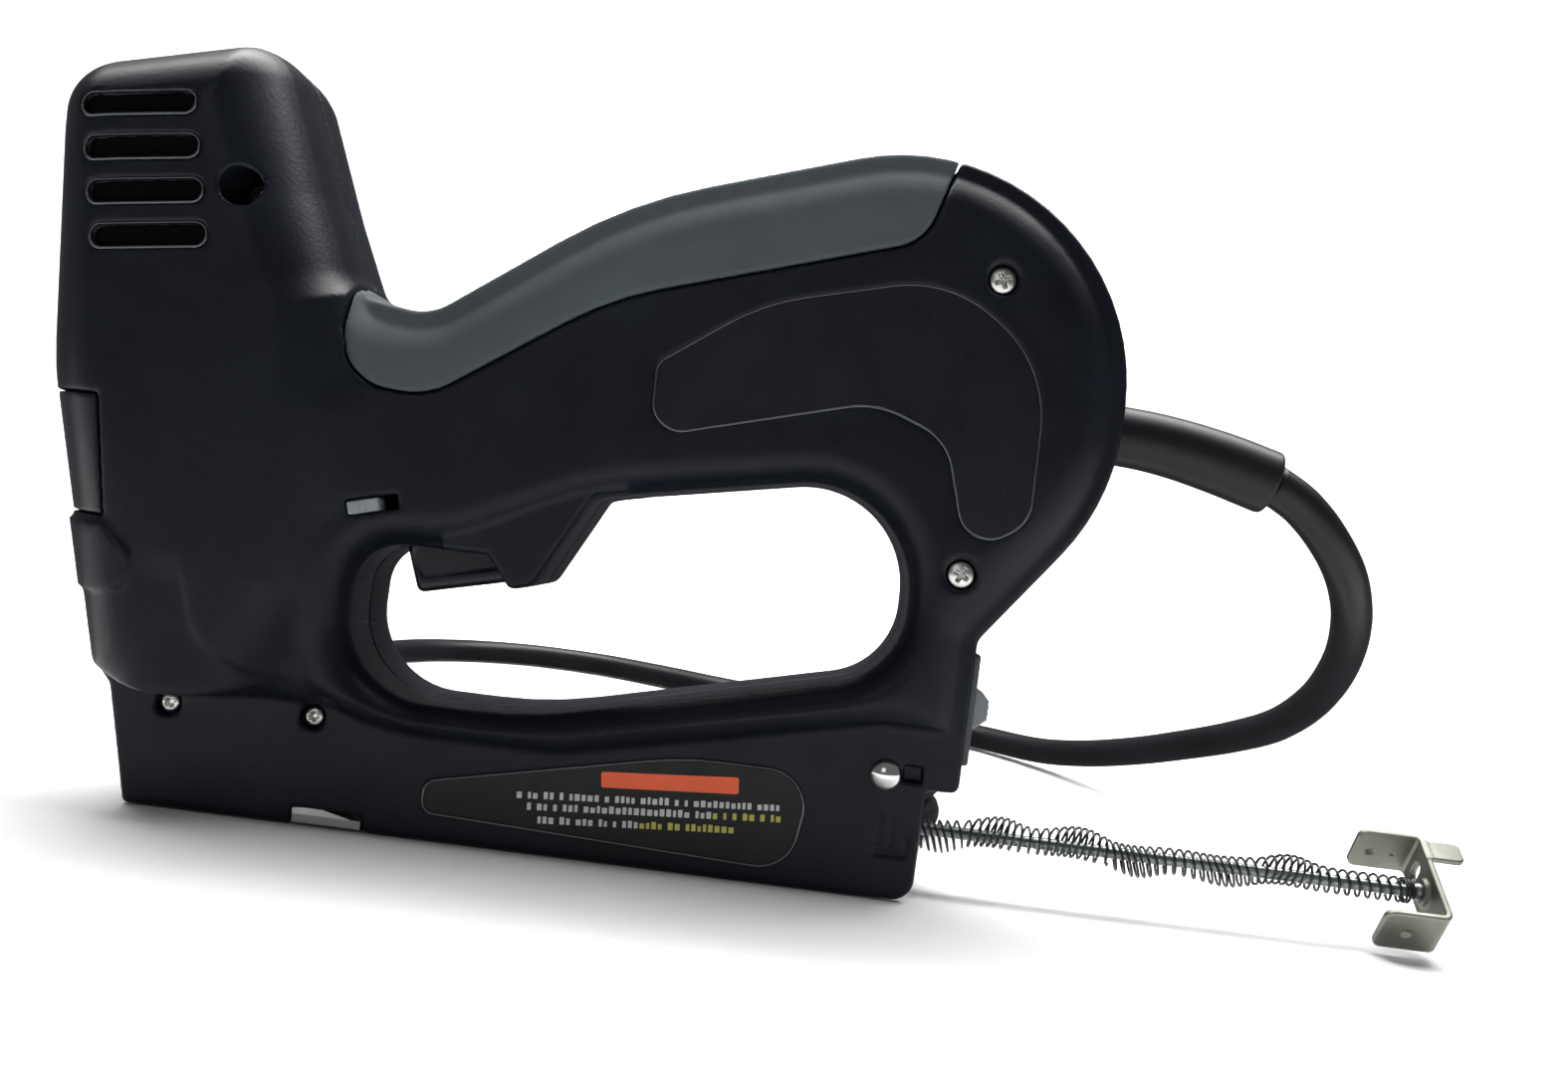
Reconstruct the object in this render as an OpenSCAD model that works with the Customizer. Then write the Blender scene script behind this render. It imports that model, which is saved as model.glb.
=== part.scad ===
// Corded electric staple gun, standing on the flat underside of its magazine.
// +X runs from the nose to the cord, +Z is up, and the two housing halves meet on the plane Y = 0.

/* [Housing] */
// Half the width of the head
head_half_w = 26; // [24:0.5:28]
// Half the width of the handle and of the finger loop
handle_half_w = 17; // [15:0.5:18]
// Half the width of the magazine section
base_half_w = 13; // [12.5:0.5:14]
// Wall thickness of the housing halves
wall = 2.2; // [1.8:0.1:2.4]
// Thickness of the rubber grip cover
grip_t = 2; // [1.2:0.2:2.4]
// Number of cooling slots on each side of the head
vent_count = 4; // [1:1:4]

/* [Screws] */
// Radius of the screw shanks
screw_r = 1.5; // [1.2:0.1:1.6]
// Radius of the screw heads in the handle
screw_head_r = 2.5; // [2.2:0.1:2.6]

/* [Driver] */
// Distance that the plunger and the blade travel
driver_stroke = 17; // [14:1:17]
// Radius of the plunger
plunger_r = 7; // [6:0.5:7]
// Thickness of the driver blade
blade_t = 1.1; // [0.8:0.1:1.2]

/* [Magazine] */
// Height of the pusher rod above the rest face
rod_z = 11.2; // [10.8:0.1:11.4]
// Radius of the pusher rod
rod_r = 1.15; // [1:0.05:1.2]
// Length of the staple strip
strip_l = 56; // [20:1:58]
// Angle by which the pulled-out latch bracket hangs over to one side
bracket_lean = 36; // [0:1:40]

/* [Cord] */
// Diameter of the power cord
cord_d = 8; // [7.6:0.1:8]
// Radius of the coil at the middle of its turns
coil_r = 40; // [40:1:44]

/* [Hidden] */
$fn = 48;
e = 0.01;

// Outlines are corner lists, [x, z, corner radius], in the side view.
BODY = [
    [-112, 0, 1], [-117, 21, 1], [-119.5, 24, 3], [-126.5, 51, 40], [-133, 76, 60],
    [-136.5, 118, 60], [-137, 130.5, 11], [-100.5, 139.5, 8], [-90, 113, 30],
    [-82.5, 96.5, 8], [-68, 94.5, 10], [-34.5, 119.5, 90], [59.2, 150, 41],
    [59.2, 76.5, 41], [38, 48.5, 3], [38, 20.5, 1.5], [32.2, 20.3, 0.8], [32, 0, 4],
];
LOOP = [
    [-75.8, 24.2, 16], [-41.5, 24.2, 80], [25, 40.5, 15], [24.2, 77.3, 19], [-34, 65.8, 2],
    [-43, 48.3, 2], [-47, 47.2, 1], [-51.5, 52.8, 1], [-75.8, 52.5, 9],
];
UPPER = [
    [-150, 23, 0], [-90, 23, 10], [-62, 18.5, 20], [-35, 18.5, 30], [22, 31, 10], [50, 31, 0],
    [90, 60, 0], [90, 150, 0], [-150, 150, 0],
];
HEAD = [
    [-150, 23.5, 0], [-88, 23.5, 6], [-79, 42, 20], [-78, 75, 30], [-81, 100, 20],
    [-84, 150, 0], [-150, 150, 0],
];
GRIP = [
    [-81.3, 104, 1], [-81.3, 80.5, 9], [-65.5, 79.5, 14], [-35, 101, 60], [19, 118, 9],
    [25.7, 140, 1], [-40, 150, 1], [-70, 104, 1],
];
LABEL = [[-58, 5.2, 2.4], [9, 3, 7], [11.5, 20.9, 7], [-12, 20.9, 60], [-58, 10.8, 2.4]];

// Distances from the middle plane between which the housing is drawn layer by layer.
LEVELS = [
    0, 6, 8, 10.8, base_half_w - 1, base_half_w - 0.5, base_half_w, 14.8, handle_half_w,
    head_half_w - 5.5, head_half_w - 3.5, head_half_w - 2.2, head_half_w,
];
GRIP_LEVELS = [0, base_half_w - 0.5, 14.8, handle_half_w];

// Where the latch pin and the housing screws stand, [x, z].
PIN = [24.4, 22.5];
HANDLE_SCREWS = [[33.8, 113.1], [33, 60]];
HEAD_SCREW = [-99.9, 111];
NOSE_SCREWS = [[-105.7, 19], [-79.5, 19.7]];

// Driver, seen from above its axis.
driver_x = -109.5;
blade_half_w = 5.1;
blade_bottom = 18;
plunger_bottom = 82.5;
plunger_top = 107;
frame_bottom = 58;
frame_top = 104;
plate_t = 3;
guide_rear = -103.5;

// Magazine, from front to rear.
rail_half_w = 4.6;
rail_top = 14.2;
staple_wire = 0.6;
strip_front = -108.7;
channel_half_w = 7.6;
channel_rear = 30;
pusher_front = 14.3;
pusher_l = 12;
bracket_x = 129.5;
bracket_t = 1.2;
ear_l = 12.5;
ear_h = 9.6;
ear_y = 10.4;

// Trigger pivot.
pivot = [-45, 57];
trigger_half_w = 5.5;

// The cord leaves the strain relief here and lies on the floor behind the tool.
cord_r = cord_d / 2;
relief_end = [90.9, 0, 84.4];
CORD_ROUTE = [
    [91, 0, 84.4], [97.5, 1, 81], [104, 3, 75.5], [110.5, 8, 68.5], [116, 17, 60.5],
    [120.5, 31, 51.5], [123, 49, 42], [122.5, 69, 33.5], [119, 90, 27], [113.5, 112, 21],
    [106.5, 135, 15], [98, 159, 9.5], [88, 183, 5.5], [74, 206, 4.3], [55, 224, 4.1], [32, 235, 4.02],
    [8, 244, 4], [-16, 257, 4], [-40, 274, 4], [-66, 288, 4], [-94, 290, 4], [-117, 277, 4],
    [-132, 254, 4], [-137, 226, 4], [-134, 197, 4], [-125, 170, 4], [-109, 143, 4],
    [-88, 124, 4], [-64, 113, 4], [-42, 109, 4], [-22, 108, 4],
];
TAIL_ROUTE = [[-26, 20.8, 11.5], [-36, 22.5, 10.2], [-47, 25, 8.2], [-58, 27, 6.5]];
COIL_CENTRE = [-4, 64];
PLUG = [-58, 27, 6.5];
plug_neck_l = 14;
plug_body_l = 27;
plug_half_h = 6.5;
blade_l = 16;
blade_spacing = 12.7;

RELIEF_ROUTE = [[59, 0, 89.8], [66, 0, 89.4], [73, 0, 88.5], [81, 0, 86.9], [87, 0, 85.4], [90.9, 0, 84.4]];
WIRES = [
    [[-93, 9, 66], [-86, 9, 66], [-78, 7, 68], [-60, 7, 80], [-38, 7, 92], [-26, 4, 96], [-21, -1, 97]],
    [[-93, -9, 66], [-86, -9, 66], [-78, -8, 68], [-60, -8, 80], [-38, -8, 90], [-21, -4.2, 92]],
    [[-58.5, 2, 72.8], [-50, 5, 78], [-36, 6, 84], [-26, 3, 87], [-21, -1, 88]],
    [[33, 5, 43.7], [34.5, 7, 50], [39.5, 8, 57], [41, 8, 63], [38, 8, 72], [31, 5, 81], [26, -1, 86]],
];

// ---- functions ----

function unit(v) = v / norm(v);

// Points of one corner b, rounded with radius r, between its neighbours a and c.
function corner(a, b, c, r) =
    let (u = unit(a - b), v = unit(c - b), half = acos(max(-1, min(1, u * v))) / 2)
    r <= 0 || half > 89 ? [b] :
    let (
        centre = b + unit(u + v) * r / sin(half),
        p = b + u * r / tan(half) - centre,
        q = b + v * r / tan(half) - centre,
        a0 = atan2(p[1], p[0]),
        turn = (atan2(q[1], q[0]) - a0 + 540) % 360 - 180,
        n = max(2, ceil(abs(turn) / 15))
    )
    [for (i = [0 : n]) centre + r * [cos(a0 + turn * i / n), sin(a0 + turn * i / n)]];

function flat(c) = [c[0], c[1]];

function rounded(list) = [
    for (i = [0 : len(list) - 1])
        let (n = len(list))
        each corner(flat(list[(i + n - 1) % n]), flat(list[i]), flat(list[(i + 1) % n]), list[i][2])
];

// Direction of a route at point i.
function heading(route, i) =
    unit(route[min(i + 1, len(route) - 1)] - route[max(i - 1, 0)]);

// A ring of n points about point i of a route, with its first point as level as it can be.
function ring(route, i, r, n) =
    let (
        t = heading(route, i),
        side = unit(cross(t, abs(t[2]) > 0.95 ? [1, 0, 0] : [0, 0, 1])),
        up = cross(side, t)
    )
    [for (k = [0 : n - 1]) route[i] + r * (side * cos(360 * k / n) + up * sin(360 * k / n))];

// Extra points on a route, by Catmull-Rom curves between its points.
function between(p0, p1, p2, p3, t) =
    0.5 * (2 * p1 + (p2 - p0) * t + (2 * p0 - 5 * p1 + 4 * p2 - p3) * t * t
        + (3 * p1 - p0 - 3 * p2 + p3) * t * t * t);

function smooth(route, n) = [
    for (i = [0 : len(route) - 2])
        let (
            p0 = route[max(i - 1, 0)], p1 = route[i],
            p2 = route[i + 1], p3 = route[min(i + 2, len(route) - 1)]
        )
        for (k = [0 : n - 1]) between(p0, p1, p2, p3, k / n),
    route[len(route) - 1]
];

// Points of a helix about a vertical line, with n points a turn.
function helix(r, z0, z1, turns, n) = [
    for (i = [0 : turns * n])
        [r * cos(360 * i / n), r * sin(360 * i / n), z0 + (z1 - z0) * i / (turns * n)]
];

// ---- shared shapes ----

// A tube of n sides along a route, whose radius goes from r0 to r1.
module sweep(route, r0, r1, n) {
    m = len(route);
    points = [
        for (i = [0 : m - 1]) each ring(route, i, r0 + (r1 - r0) * i / (m - 1), n)
    ];
    sides = [
        for (i = [0 : m - 2], k = [0 : n - 1])
            [i * n + k, i * n + (k + 1) % n, (i + 1) * n + (k + 1) % n, (i + 1) * n + k]
    ];
    ends = [[for (k = [n - 1 : -1 : 0]) k], [for (k = [0 : n - 1]) (m - 1) * n + k]];
    polyhedron(points, concat(ends, sides), convexity = 10);
}

// A side-view outline drawn from y0 to y1.
module slab(y0, y1) {
    translate([0, y1, 0]) rotate([90, 0, 0]) linear_extrude(y1 - y0) children();
}

// A round bar along Y.
module bar_y(x, z, r, y0, y1) {
    translate([x, y0, z]) rotate([-90, 0, 0]) cylinder(h = y1 - y0, r = r);
}

// A round bar along X.
module bar_x(x0, x1, y, z, r) {
    translate([x0, y, z]) rotate([0, 90, 0]) cylinder(h = x1 - x0, r = r);
}

// A box given by its two corners.
module box(a, b) {
    translate(a) cube(b - a);
}

module body_2d() {
    difference() {
        polygon(rounded(BODY));
        polygon(rounded(LOOP));
    }
}

module part_2d(region) {
    intersection() {
        body_2d();
        polygon(rounded(region));
    }
}

// How far a rounded edge has come in at distance y from the middle plane, on a body w wide.
function edge_inset(y, w, edge) =
    y <= w - edge ? 0 : edge - sqrt(max(0, edge * edge - pow(y - w + edge, 2)));

// One of the three widths of the body at distance y, inset by k all round.
module width_step(y, w, edge, k) {
    edge_k = max(edge - k, 1);
    if (y < w - k) offset(delta = -k - edge_inset(y, w - k, edge_k)) children();
}

// Side-view section of the outer form at distance y from the middle plane, inset by k.
module section(y, k) {
    width_step(y, base_half_w, 1, k) body_2d();
    width_step(y, handle_half_w, 5, k) part_2d(UPPER);
    width_step(y, head_half_w, 9, k) part_2d(HEAD);
}

// Distance from the middle plane to the middle of layer i.
function mid(i) = (LEVELS[i] + LEVELS[i + 1]) / 2;

// The grip cover's outline at distance y, grown by g. It doesn't go round the wider head.
module grip_2d(y, g) {
    if (y < handle_half_w) offset(delta = g) polygon(rounded(GRIP));
}

// The front band of the head, where the name plate sits.
module plate_2d() {
    translate([-150, 51.5]) square([150 - 119.4, 21]);
}

// How far the name plate wraps round the head.
plate_half_w = head_half_w - 5.5;

// Space in the housing in which the trigger swings.
module trigger_room() {
    polygon([
        [-70.5, 44], [-47.2, 44], [-47.2, 52], [-42.4, 52.4], [-40.4, 56], [-40.4, 64], [-48, 70],
        [-70.5, 70],
    ]);
}

// ---- housing ----

module disc(p, r) {
    translate(p) circle(r = r, $fn = 24);
}

module rect(x0, z0, x1, z1) {
    translate([x0, z0]) square([x1 - x0, z1 - z0]);
}

// Screw bosses, pivot bosses and the ribs behind the solenoid frame, bumper, board and springs.
module inner_walls(y) {
    for (p = HANDLE_SCREWS) disc(p, 3.8);
    disc(HEAD_SCREW, 3);
    if (y > 6) disc(pivot, 4);
    if (y > 8) disc(PIN, 3.2);
    if (y > 16) {
        rect(driver_x - 15, 70, driver_x + 15, 72);
        rect(driver_x - 15, 90, driver_x + 15, 92);
    }
    rect(driver_x - 8, 112, driver_x + 4, 114);
    if (y > 6) rect(-24, 76, -22, 84);
    rect(-57, 70, -51, 71.6);
}

module vents() {
    for (i = [0 : vent_count - 1])
        translate([-118.9 + 1.57 * i, 122.9 - 7.5 * i]) rotate(8)
            polygon(rounded([[-10, -1.8, 1], [10, -1.8, 1], [10, 1.8, 1], [-10, 1.8, 1]]));
}

// What is cut out of the housing at distance y: the long space for the magazine, open below and
// at the rear, the nose guide's room, the slide switch's window, the cooling slots and the label.
module openings_2d(y) {
    if (y < 6) trigger_room();
    if (y < 10.8) rect(-103.5, -1, 34, 18);
    if (y < 7.8) rect(-120, -1, -103, 45);
    if (y > 9) rect(-81.4, -1, -68.2, 3.2);
    if (y < 4.2) rect(34, 28, 40, 42);
    if (y > 19) vents();
    if (y > base_half_w - 0.5) polygon(rounded(LABEL));
}

// The housing wall at distance y.
module housing_2d(y) {
    difference() {
        union() {
            difference() {
                section(y, 0);
                grip_2d(y, 0);
                if (y < plate_half_w) plate_2d();
            }
            if (y < handle_half_w - grip_t) intersection() {
                section(y, grip_t);
                grip_2d(y, e);
            }
            if (y < plate_half_w) intersection() {
                section(y, 1.3);
                plate_2d();
            }
        }
        difference() {
            section(y, wall);
            grip_2d(y, wall);
            inner_walls(y);
        }
        difference() {
            section(y, wall + grip_t);
            inner_walls(y);
        }
        openings_2d(y);
    }
}

// One half from Y = 0 to +Y, before it is handed to its side.
module housing_half() {
    difference() {
        for (i = [0 : len(LEVELS) - 2]) slab(LEVELS[i], LEVELS[i + 1]) housing_2d(mid(i));
        bar_y(PIN[0], PIN[1], 2, -1, 40);
        bar_x(50, 62, 0, 89.8, 6.2);
    }
}

module left_bores() {
    for (p = HANDLE_SCREWS) {
        bar_y(p[0], p[1], screw_r + 0.1, -30, 1);
        bar_y(p[0], p[1], screw_head_r + 0.2, -30, -handle_half_w + 2.5);
    }
    bar_y(HEAD_SCREW[0], HEAD_SCREW[1], screw_r + 0.1, -30, 1);
    bar_y(HEAD_SCREW[0], HEAD_SCREW[1], screw_head_r + 0.2, -30, -12);
    for (p = NOSE_SCREWS) {
        bar_y(p[0], p[1], screw_r + 0.1, -30, 1);
        bar_y(p[0], p[1], screw_head_r, -30, -base_half_w + 2);
    }
}

module lock_slot() {
    translate([-72.5, 0, 59.1]) rotate([0, -15.6, 0]) box([-4.4, -20, -1.25], [4.4, -12, 1.25]);
}

module left_housing() {
    color("#15171b") difference() {
        mirror([0, 1, 0]) housing_half();
        left_bores();
        bar_y(pivot[0], pivot[1], 1.5, -12, 1);
        lock_slot();
    }
}

module right_housing() {
    color("#15171b") difference() {
        housing_half();
        for (p = HANDLE_SCREWS) bar_y(p[0], p[1], screw_r, -1, 10);
        bar_y(HEAD_SCREW[0], HEAD_SCREW[1], screw_r, -1, 10);
        for (p = NOSE_SCREWS) bar_y(p[0], p[1], screw_r, -1, 11.5);
        bar_y(pivot[0], pivot[1], 1.5, -1, 12);
    }
}

module grip_cover() {
    color("#3b4347") for (s = [0, 1], i = [0 : len(GRIP_LEVELS) - 2]) {
        y = (GRIP_LEVELS[i] + GRIP_LEVELS[i + 1]) / 2;
        mirror([0, s, 0]) slab(GRIP_LEVELS[i], GRIP_LEVELS[i + 1]) difference() {
            intersection() {
                width_step(y, handle_half_w, 5, 0) body_2d();
                grip_2d(y, 0);
            }
            width_step(y, handle_half_w, 5, grip_t) body_2d();
        }
    }
}

module name_plate() {
    color("#1b1b1d") for (s = [0, 1], i = [0 : len(LEVELS) - 2]) if (mid(i) < plate_half_w)
        mirror([0, s, 0]) slab(LEVELS[i], LEVELS[i + 1]) difference() {
            intersection() {
                section(mid(i), 0.5);
                plate_2d();
            }
            section(mid(i), 1.3);
        }
}

module side_labels() {
    color("#17181a") for (s = [0, 1]) mirror([0, s, 0])
        slab(base_half_w - 0.5, base_half_w - 0.1) offset(delta = -0.2) polygon(rounded(LABEL));
}

module screw_y(x, z, head_y, head_r, end_y) {
    bar_y(x, z, screw_r, head_y + 1.6, end_y);
    bar_y(x, z, head_r, head_y, head_y + 1.6);
}

module housing_screws() {
    color("#b9bcc0") {
        for (p = HANDLE_SCREWS) screw_y(p[0], p[1], -handle_half_w + 0.9, screw_head_r, 9);
        screw_y(HEAD_SCREW[0], HEAD_SCREW[1], -13.6, screw_head_r, 9);
    }
}

module nose_screws() {
    color("#b9bcc0") for (p = NOSE_SCREWS) screw_y(p[0], p[1], -base_half_w + 0.4, 2.2, 11);
}

// ---- nose and magazine ----

module front_guide() {
    color("#9a9da1") difference() {
        slab(-7.6, 7.6) polygon([
            [-112, 0], [guide_rear, 0], [guide_rear, 44], [-114, 44], [-114, 24], [-116.8, 20.8],
        ]);
        box([driver_x - 0.7, -5.4, -1], [driver_x + 0.7, 5.4, 45]);
        box([driver_x, -5.5, 1.5], [guide_rear + 1, 5.5, 16]);
        bar_y(NOSE_SCREWS[0][0], NOSE_SCREWS[0][1], screw_r + 0.1, -10, 10);
    }
}

module magazine_channel() {
    color("#8f9296") difference() {
        union() {
            box([guide_rear + 0.2, -channel_half_w, 1], [channel_rear, channel_half_w, 17.6]);
            box([guide_rear + 0.2, -10.6, 1], [18, 10.6, 2]);
            box([-81, -12.8, 0.5], [-68.6, 12.8, 2]);
        }
        box([-110, -6.6, -1], [40, 6.6, 16.6]);
    }
}

module staple_rail() {
    color("#a4a7aa") difference() {
        box([strip_front, -rail_half_w, 2.2], [29, rail_half_w, rail_top]);
        box([strip_front - 1, -3.6, 3.2], [40, 3.6, 20]);
    }
}

module staple_strip() {
    half_w = rail_half_w + 0.1 + staple_wire;
    color("#c8cacc") difference() {
        box([strip_front, -half_w, 3.6], [strip_front + strip_l, half_w, rail_top + 0.1 + staple_wire]);
        box([-130, -rail_half_w - 0.1, 0], [0, rail_half_w + 0.1, rail_top + 0.1]);
    }
}

module pusher() {
    x0 = pusher_front;
    x1 = pusher_front + pusher_l;
    color("#2b2d30") difference() {
        union() {
            difference() {
                box([x0, -6.3, 4], [x1, 6.3, 16.2]);
                box([x0 - 1, -4.9, 3], [x1 + 1, 4.9, 14.5]);
            }
            box([x0, -3.3, rod_z - 3.4], [x1, 3.3, 15]);
        }
        bar_x(x0 - 1, x1 + 1, 0, rod_z, rod_r + 0.08);
    }
}

module pusher_rod() {
    color("#9b9a92") {
        bar_x(pusher_front - 2.2, pusher_front - 0.2, 0, rod_z, 2.2);
        bar_x(pusher_front - 0.2 - e, bracket_x + bracket_t, 0, rod_z, rod_r);
    }
}

module pusher_spring() {
    rest_l = bracket_x - pusher_front - pusher_l;
    color("#3a3b3d") translate([pusher_front + pusher_l, 0, rod_z]) rotate([0, 90, 0])
        sweep(helix(1.95, 0.4, rest_l - 0.4, 24, 8), 0.35, 0.35, 6);
}

// The bracket in line with the magazine, about the rod's axis.
module latch_bracket() {
    color("#8e8f85") translate([0, 0, rod_z]) rotate([bracket_lean, 0, 0]) difference() {
        union() {
            box([bracket_x, -ear_y, -ear_h / 2], [bracket_x + bracket_t, ear_y, ear_h / 2]);
            for (s = [0, 1]) mirror([0, s, 0])
                box([bracket_x + bracket_t - ear_l, ear_y - bracket_t, -ear_h / 2],
                    [bracket_x + bracket_t, ear_y, ear_h / 2]);
            box([bracket_x, 4.4, ear_h / 2 - 1.2], [137, 9, ear_h / 2]);
        }
        bar_x(bracket_x - 1, bracket_x + 3, 0, 0, rod_r + 0.05);
        translate([bracket_x - 1, 5.6, -1]) rotate([0, 90, 0]) cylinder(h = 4, r = 1.3);
        for (y = [-1, 1]) bar_y(bracket_x - 6, 0, 0.9, y * ear_y - 2, y * ear_y + 2);
    }
}

module rod_rivet() {
    color("#a5a496") bar_x(bracket_x + bracket_t, bracket_x + 2.6, 0, rod_z, 2.2);
}

module latch_pin() {
    color("#e4e6e8") {
        bar_y(PIN[0], PIN[1], 2, -base_half_w, base_half_w);
        for (s = [-1, 1]) intersection() {
            translate([PIN[0], s * (base_half_w - 1.4), PIN[1]]) sphere(r = 3.3);
            bar_y(PIN[0], PIN[1], 3, s > 0 ? base_half_w : -base_half_w - 3,
                s > 0 ? base_half_w + 3 : -base_half_w);
        }
    }
}

// ---- driver ----

module solenoid_frame() {
    color("#6d7075") difference() {
        box([driver_x - 15, -16, frame_bottom], [driver_x + 15, 16, frame_top]);
        box([driver_x - 16, -13.4, frame_bottom + plate_t], [driver_x + 16, 13.4, frame_top - plate_t]);
        translate([driver_x, 0, frame_top - plate_t - 1]) cylinder(h = 6, r = plunger_r + 0.1);
        translate([driver_x, 0, frame_bottom - 1]) cylinder(h = 6, r = 5.6);
    }
}

module coil_bobbin() {
    z0 = frame_bottom + plate_t;
    z1 = frame_top - plate_t;
    color("#d8d2bd") translate([driver_x, 0, 0]) difference() {
        union() {
            translate([0, 0, z0]) cylinder(h = z1 - z0, r = 8.4);
            translate([0, 0, z0]) cylinder(h = 1.5, r = 13.2);
            translate([0, 0, z1 - 1.5]) cylinder(h = 1.5, r = 13.2);
        }
        translate([0, 0, z0 - 1]) cylinder(h = z1 - z0 + 2, r = plunger_r + 0.08);
    }
}

module coil_winding() {
    z0 = frame_bottom + plate_t + 1.5;
    z1 = frame_top - plate_t - 1.5;
    color("#a8602f") translate([driver_x, 0, z0]) difference() {
        cylinder(h = z1 - z0, r = 12.8);
        translate([0, 0, -1]) cylinder(h = z1 - z0 + 2, r = 8.4);
    }
}

module plunger() {
    color("#84878b") difference() {
        translate([driver_x, 0, plunger_bottom]) cylinder(h = plunger_top - plunger_bottom, r = plunger_r);
        box([driver_x - blade_t / 2, -blade_half_w, plunger_bottom - 1],
            [driver_x + blade_t / 2, blade_half_w, plunger_bottom + 8]);
    }
}

module driver_blade() {
    color("#b4b7ba")
        box([driver_x - blade_t / 2, -blade_half_w, blade_bottom],
            [driver_x + blade_t / 2, blade_half_w, plunger_bottom + 8]);
}

module return_spring() {
    color("#b0b3b6") translate([driver_x, 0, 0])
        sweep(helix(6.2, frame_bottom + plate_t + 0.45, plunger_bottom - 0.45, 5, 12), 0.4, 0.4, 6);
}

module bumper() {
    color("#202124") translate([driver_x, 0, plunger_top + 0.2]) cylinder(h = 112 - plunger_top - 0.2, r = 5.9);
}

// ---- trigger ----

module trigger() {
    color("#1c1e22") difference() {
        union() {
            slab(-trigger_half_w, trigger_half_w) polygon(rounded([
                [-68.4, 60, 1], [-68.4, 51.5, 3], [-65.6, 43.8, 1.4], [-47.8, 48.2, 0.6],
                [-47.8, 54, 0.5], [-48, 60, 0.5],
            ]));
            bar_y(pivot[0], pivot[1], 3.4, -trigger_half_w, trigger_half_w);
        }
        bar_y(pivot[0], pivot[1], 1.55, -20, 20);
    }
}

module trigger_pin() {
    color("#b9bcc0") bar_y(pivot[0], pivot[1], 1.5, -11.8, 11.8);
}

module trigger_spring() {
    color("#b0b3b6") translate([-54, 0, 0])
        sweep(helix(2.1, 60.3, 69.7, 6, 8), 0.3, 0.3, 6);
}

module trigger_switch() {
    color("#2a2c30") {
        box([-69.5, -3.2, 66.8], [-58.5, 3.2, 74]);
        box([-64, -1, 65.6], [-62, 1, 66.8 + e]);
    }
}

module trigger_lock() {
    color("#7f8488") translate([-72.5, 0, 59.1]) rotate([0, -15.6, 0]) {
        box([-4.3, -17.7, -1.15], [1.4, -13.4, 1.15]);
    }
}

// ---- rear switch ----

module power_switch_body() {
    color("#26282b") box([28, -6, 26.6], [33.8, 6, 43.6]);
}

module switch_bezel() {
    color("#1a1c1f") difference() {
        box([38, -6.5, 24.9], [39.4, 6.5, 45.6]);
        box([37, -3.3, 28.4], [41, 3.3, 41.8]);
    }
}

module power_slider() {
    color("#35383c") {
        box([34, -3, 31.6], [41, 3, 38.6]);
        box([41 - e, -3, 33.4], [42.9, 3, 36.8]);
    }
}

// ---- electrics ----

module circuit_board() {
    color("#2f6b3f") box([-22, -3.4, 84], [27, -1.8, 104]);
}

module board_parts() {
    z = 94;
    color("#3c3f66") {
        bar_x(-12, 10, 4.6, z + 1, 6.2);
        box([13, -1.8, 88], [23, 3, 101]);
        bar_x(-19, -14, -0.6, z - 6, 1.2);
        bar_x(-6, 1, -0.6, 86, 1.2);
        box([-17, -9, 88], [14, -3.4, 90]);
        box([-17, -9, 98], [14, -3.4, 100]);
    }
}

module lead_wires() {
    color("#8a2f2a") for (w = WIRES) sweep(smooth(w, 3), 0.8, 0.8, 6);
}

module inner_cord() {
    color("#191a1c") bar_x(36, 54, 0, 89.8, cord_r);
}

module cord_clamp() {
    color("#303236") difference() {
        box([42, -10, 89.8], [47, 10, 96.5]);
        bar_x(40, 50, 0, 89.8, cord_r);
        for (y = [-7, 7]) translate([44.5, y, 80]) cylinder(h = 30, r = 1.25);
    }
}

module clamp_screws() {
    color("#b9bcc0") for (y = [-7, 7]) translate([44.5, y, 84]) {
        cylinder(h = 12.5, r = 1.2);
        translate([0, 0, 12.5]) cylinder(h = 1.6, r = 2.3);
    }
}

module strain_relief() {
    color("#141517") {
        difference() {
            bar_x(54, 59.1, 0, 89.8, 6.1);
            bar_x(50, 54 + 2, 0, 89.8, cord_r);
        }
        difference() {
            bar_x(54, 56, 0, 89.8, 7.6);
            bar_x(50, 60, 0, 89.8, 6);
        }
        sweep(smooth(RELIEF_ROUTE, 3), 6.1, 5.9, 16);
    }
}

// ---- cord ----

module power_cord() {
    color("#17181a") sweep(smooth(CORD_ROUTE, 2), cord_r, cord_r, 8);
}

module cord_coil() {
    color("#17181a") translate([COIL_CENTRE[0], COIL_CENTRE[1], 0]) rotate_extrude() polygon(rounded([
        [coil_r - cord_d, 0, 3], [coil_r + cord_d, 0, 3],
        [coil_r + cord_d, 2 * cord_d, 3], [coil_r - cord_d, 2 * cord_d, 3],
    ]));
}

module cord_tail() {
    color("#17181a") sweep(smooth(TAIL_ROUTE, 3), cord_r, cord_r, 8);
}

// A hook-and-loop strap round the turns of the coil.
module cord_tie() {
    inner = cord_d + 0.1;
    color("#2a2b2d") translate([COIL_CENTRE[0] - coil_r, COIL_CENTRE[1], 0]) difference() {
        box([-inner - 1, -6, 0], [inner + 1, 6, 2 * cord_d + 1.2]);
        box([-inner, -7, -1], [inner, 7, 2 * cord_d + 0.1]);
    }
}

module plug() {
    color("#17181a") translate(PLUG) {
        rotate([0, -90, 0]) cylinder(h = plug_neck_l + 1, r1 = 4.6, r2 = 5.8);
        translate([-plug_neck_l - plug_body_l, 0, 0]) rotate([90, 0, 90]) linear_extrude(plug_body_l)
            polygon(rounded([
                [-12.5, -plug_half_h, 5], [12.5, -plug_half_h, 5],
                [12.5, plug_half_h, 5], [-12.5, plug_half_h, 5],
            ]));
    }
}

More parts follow.
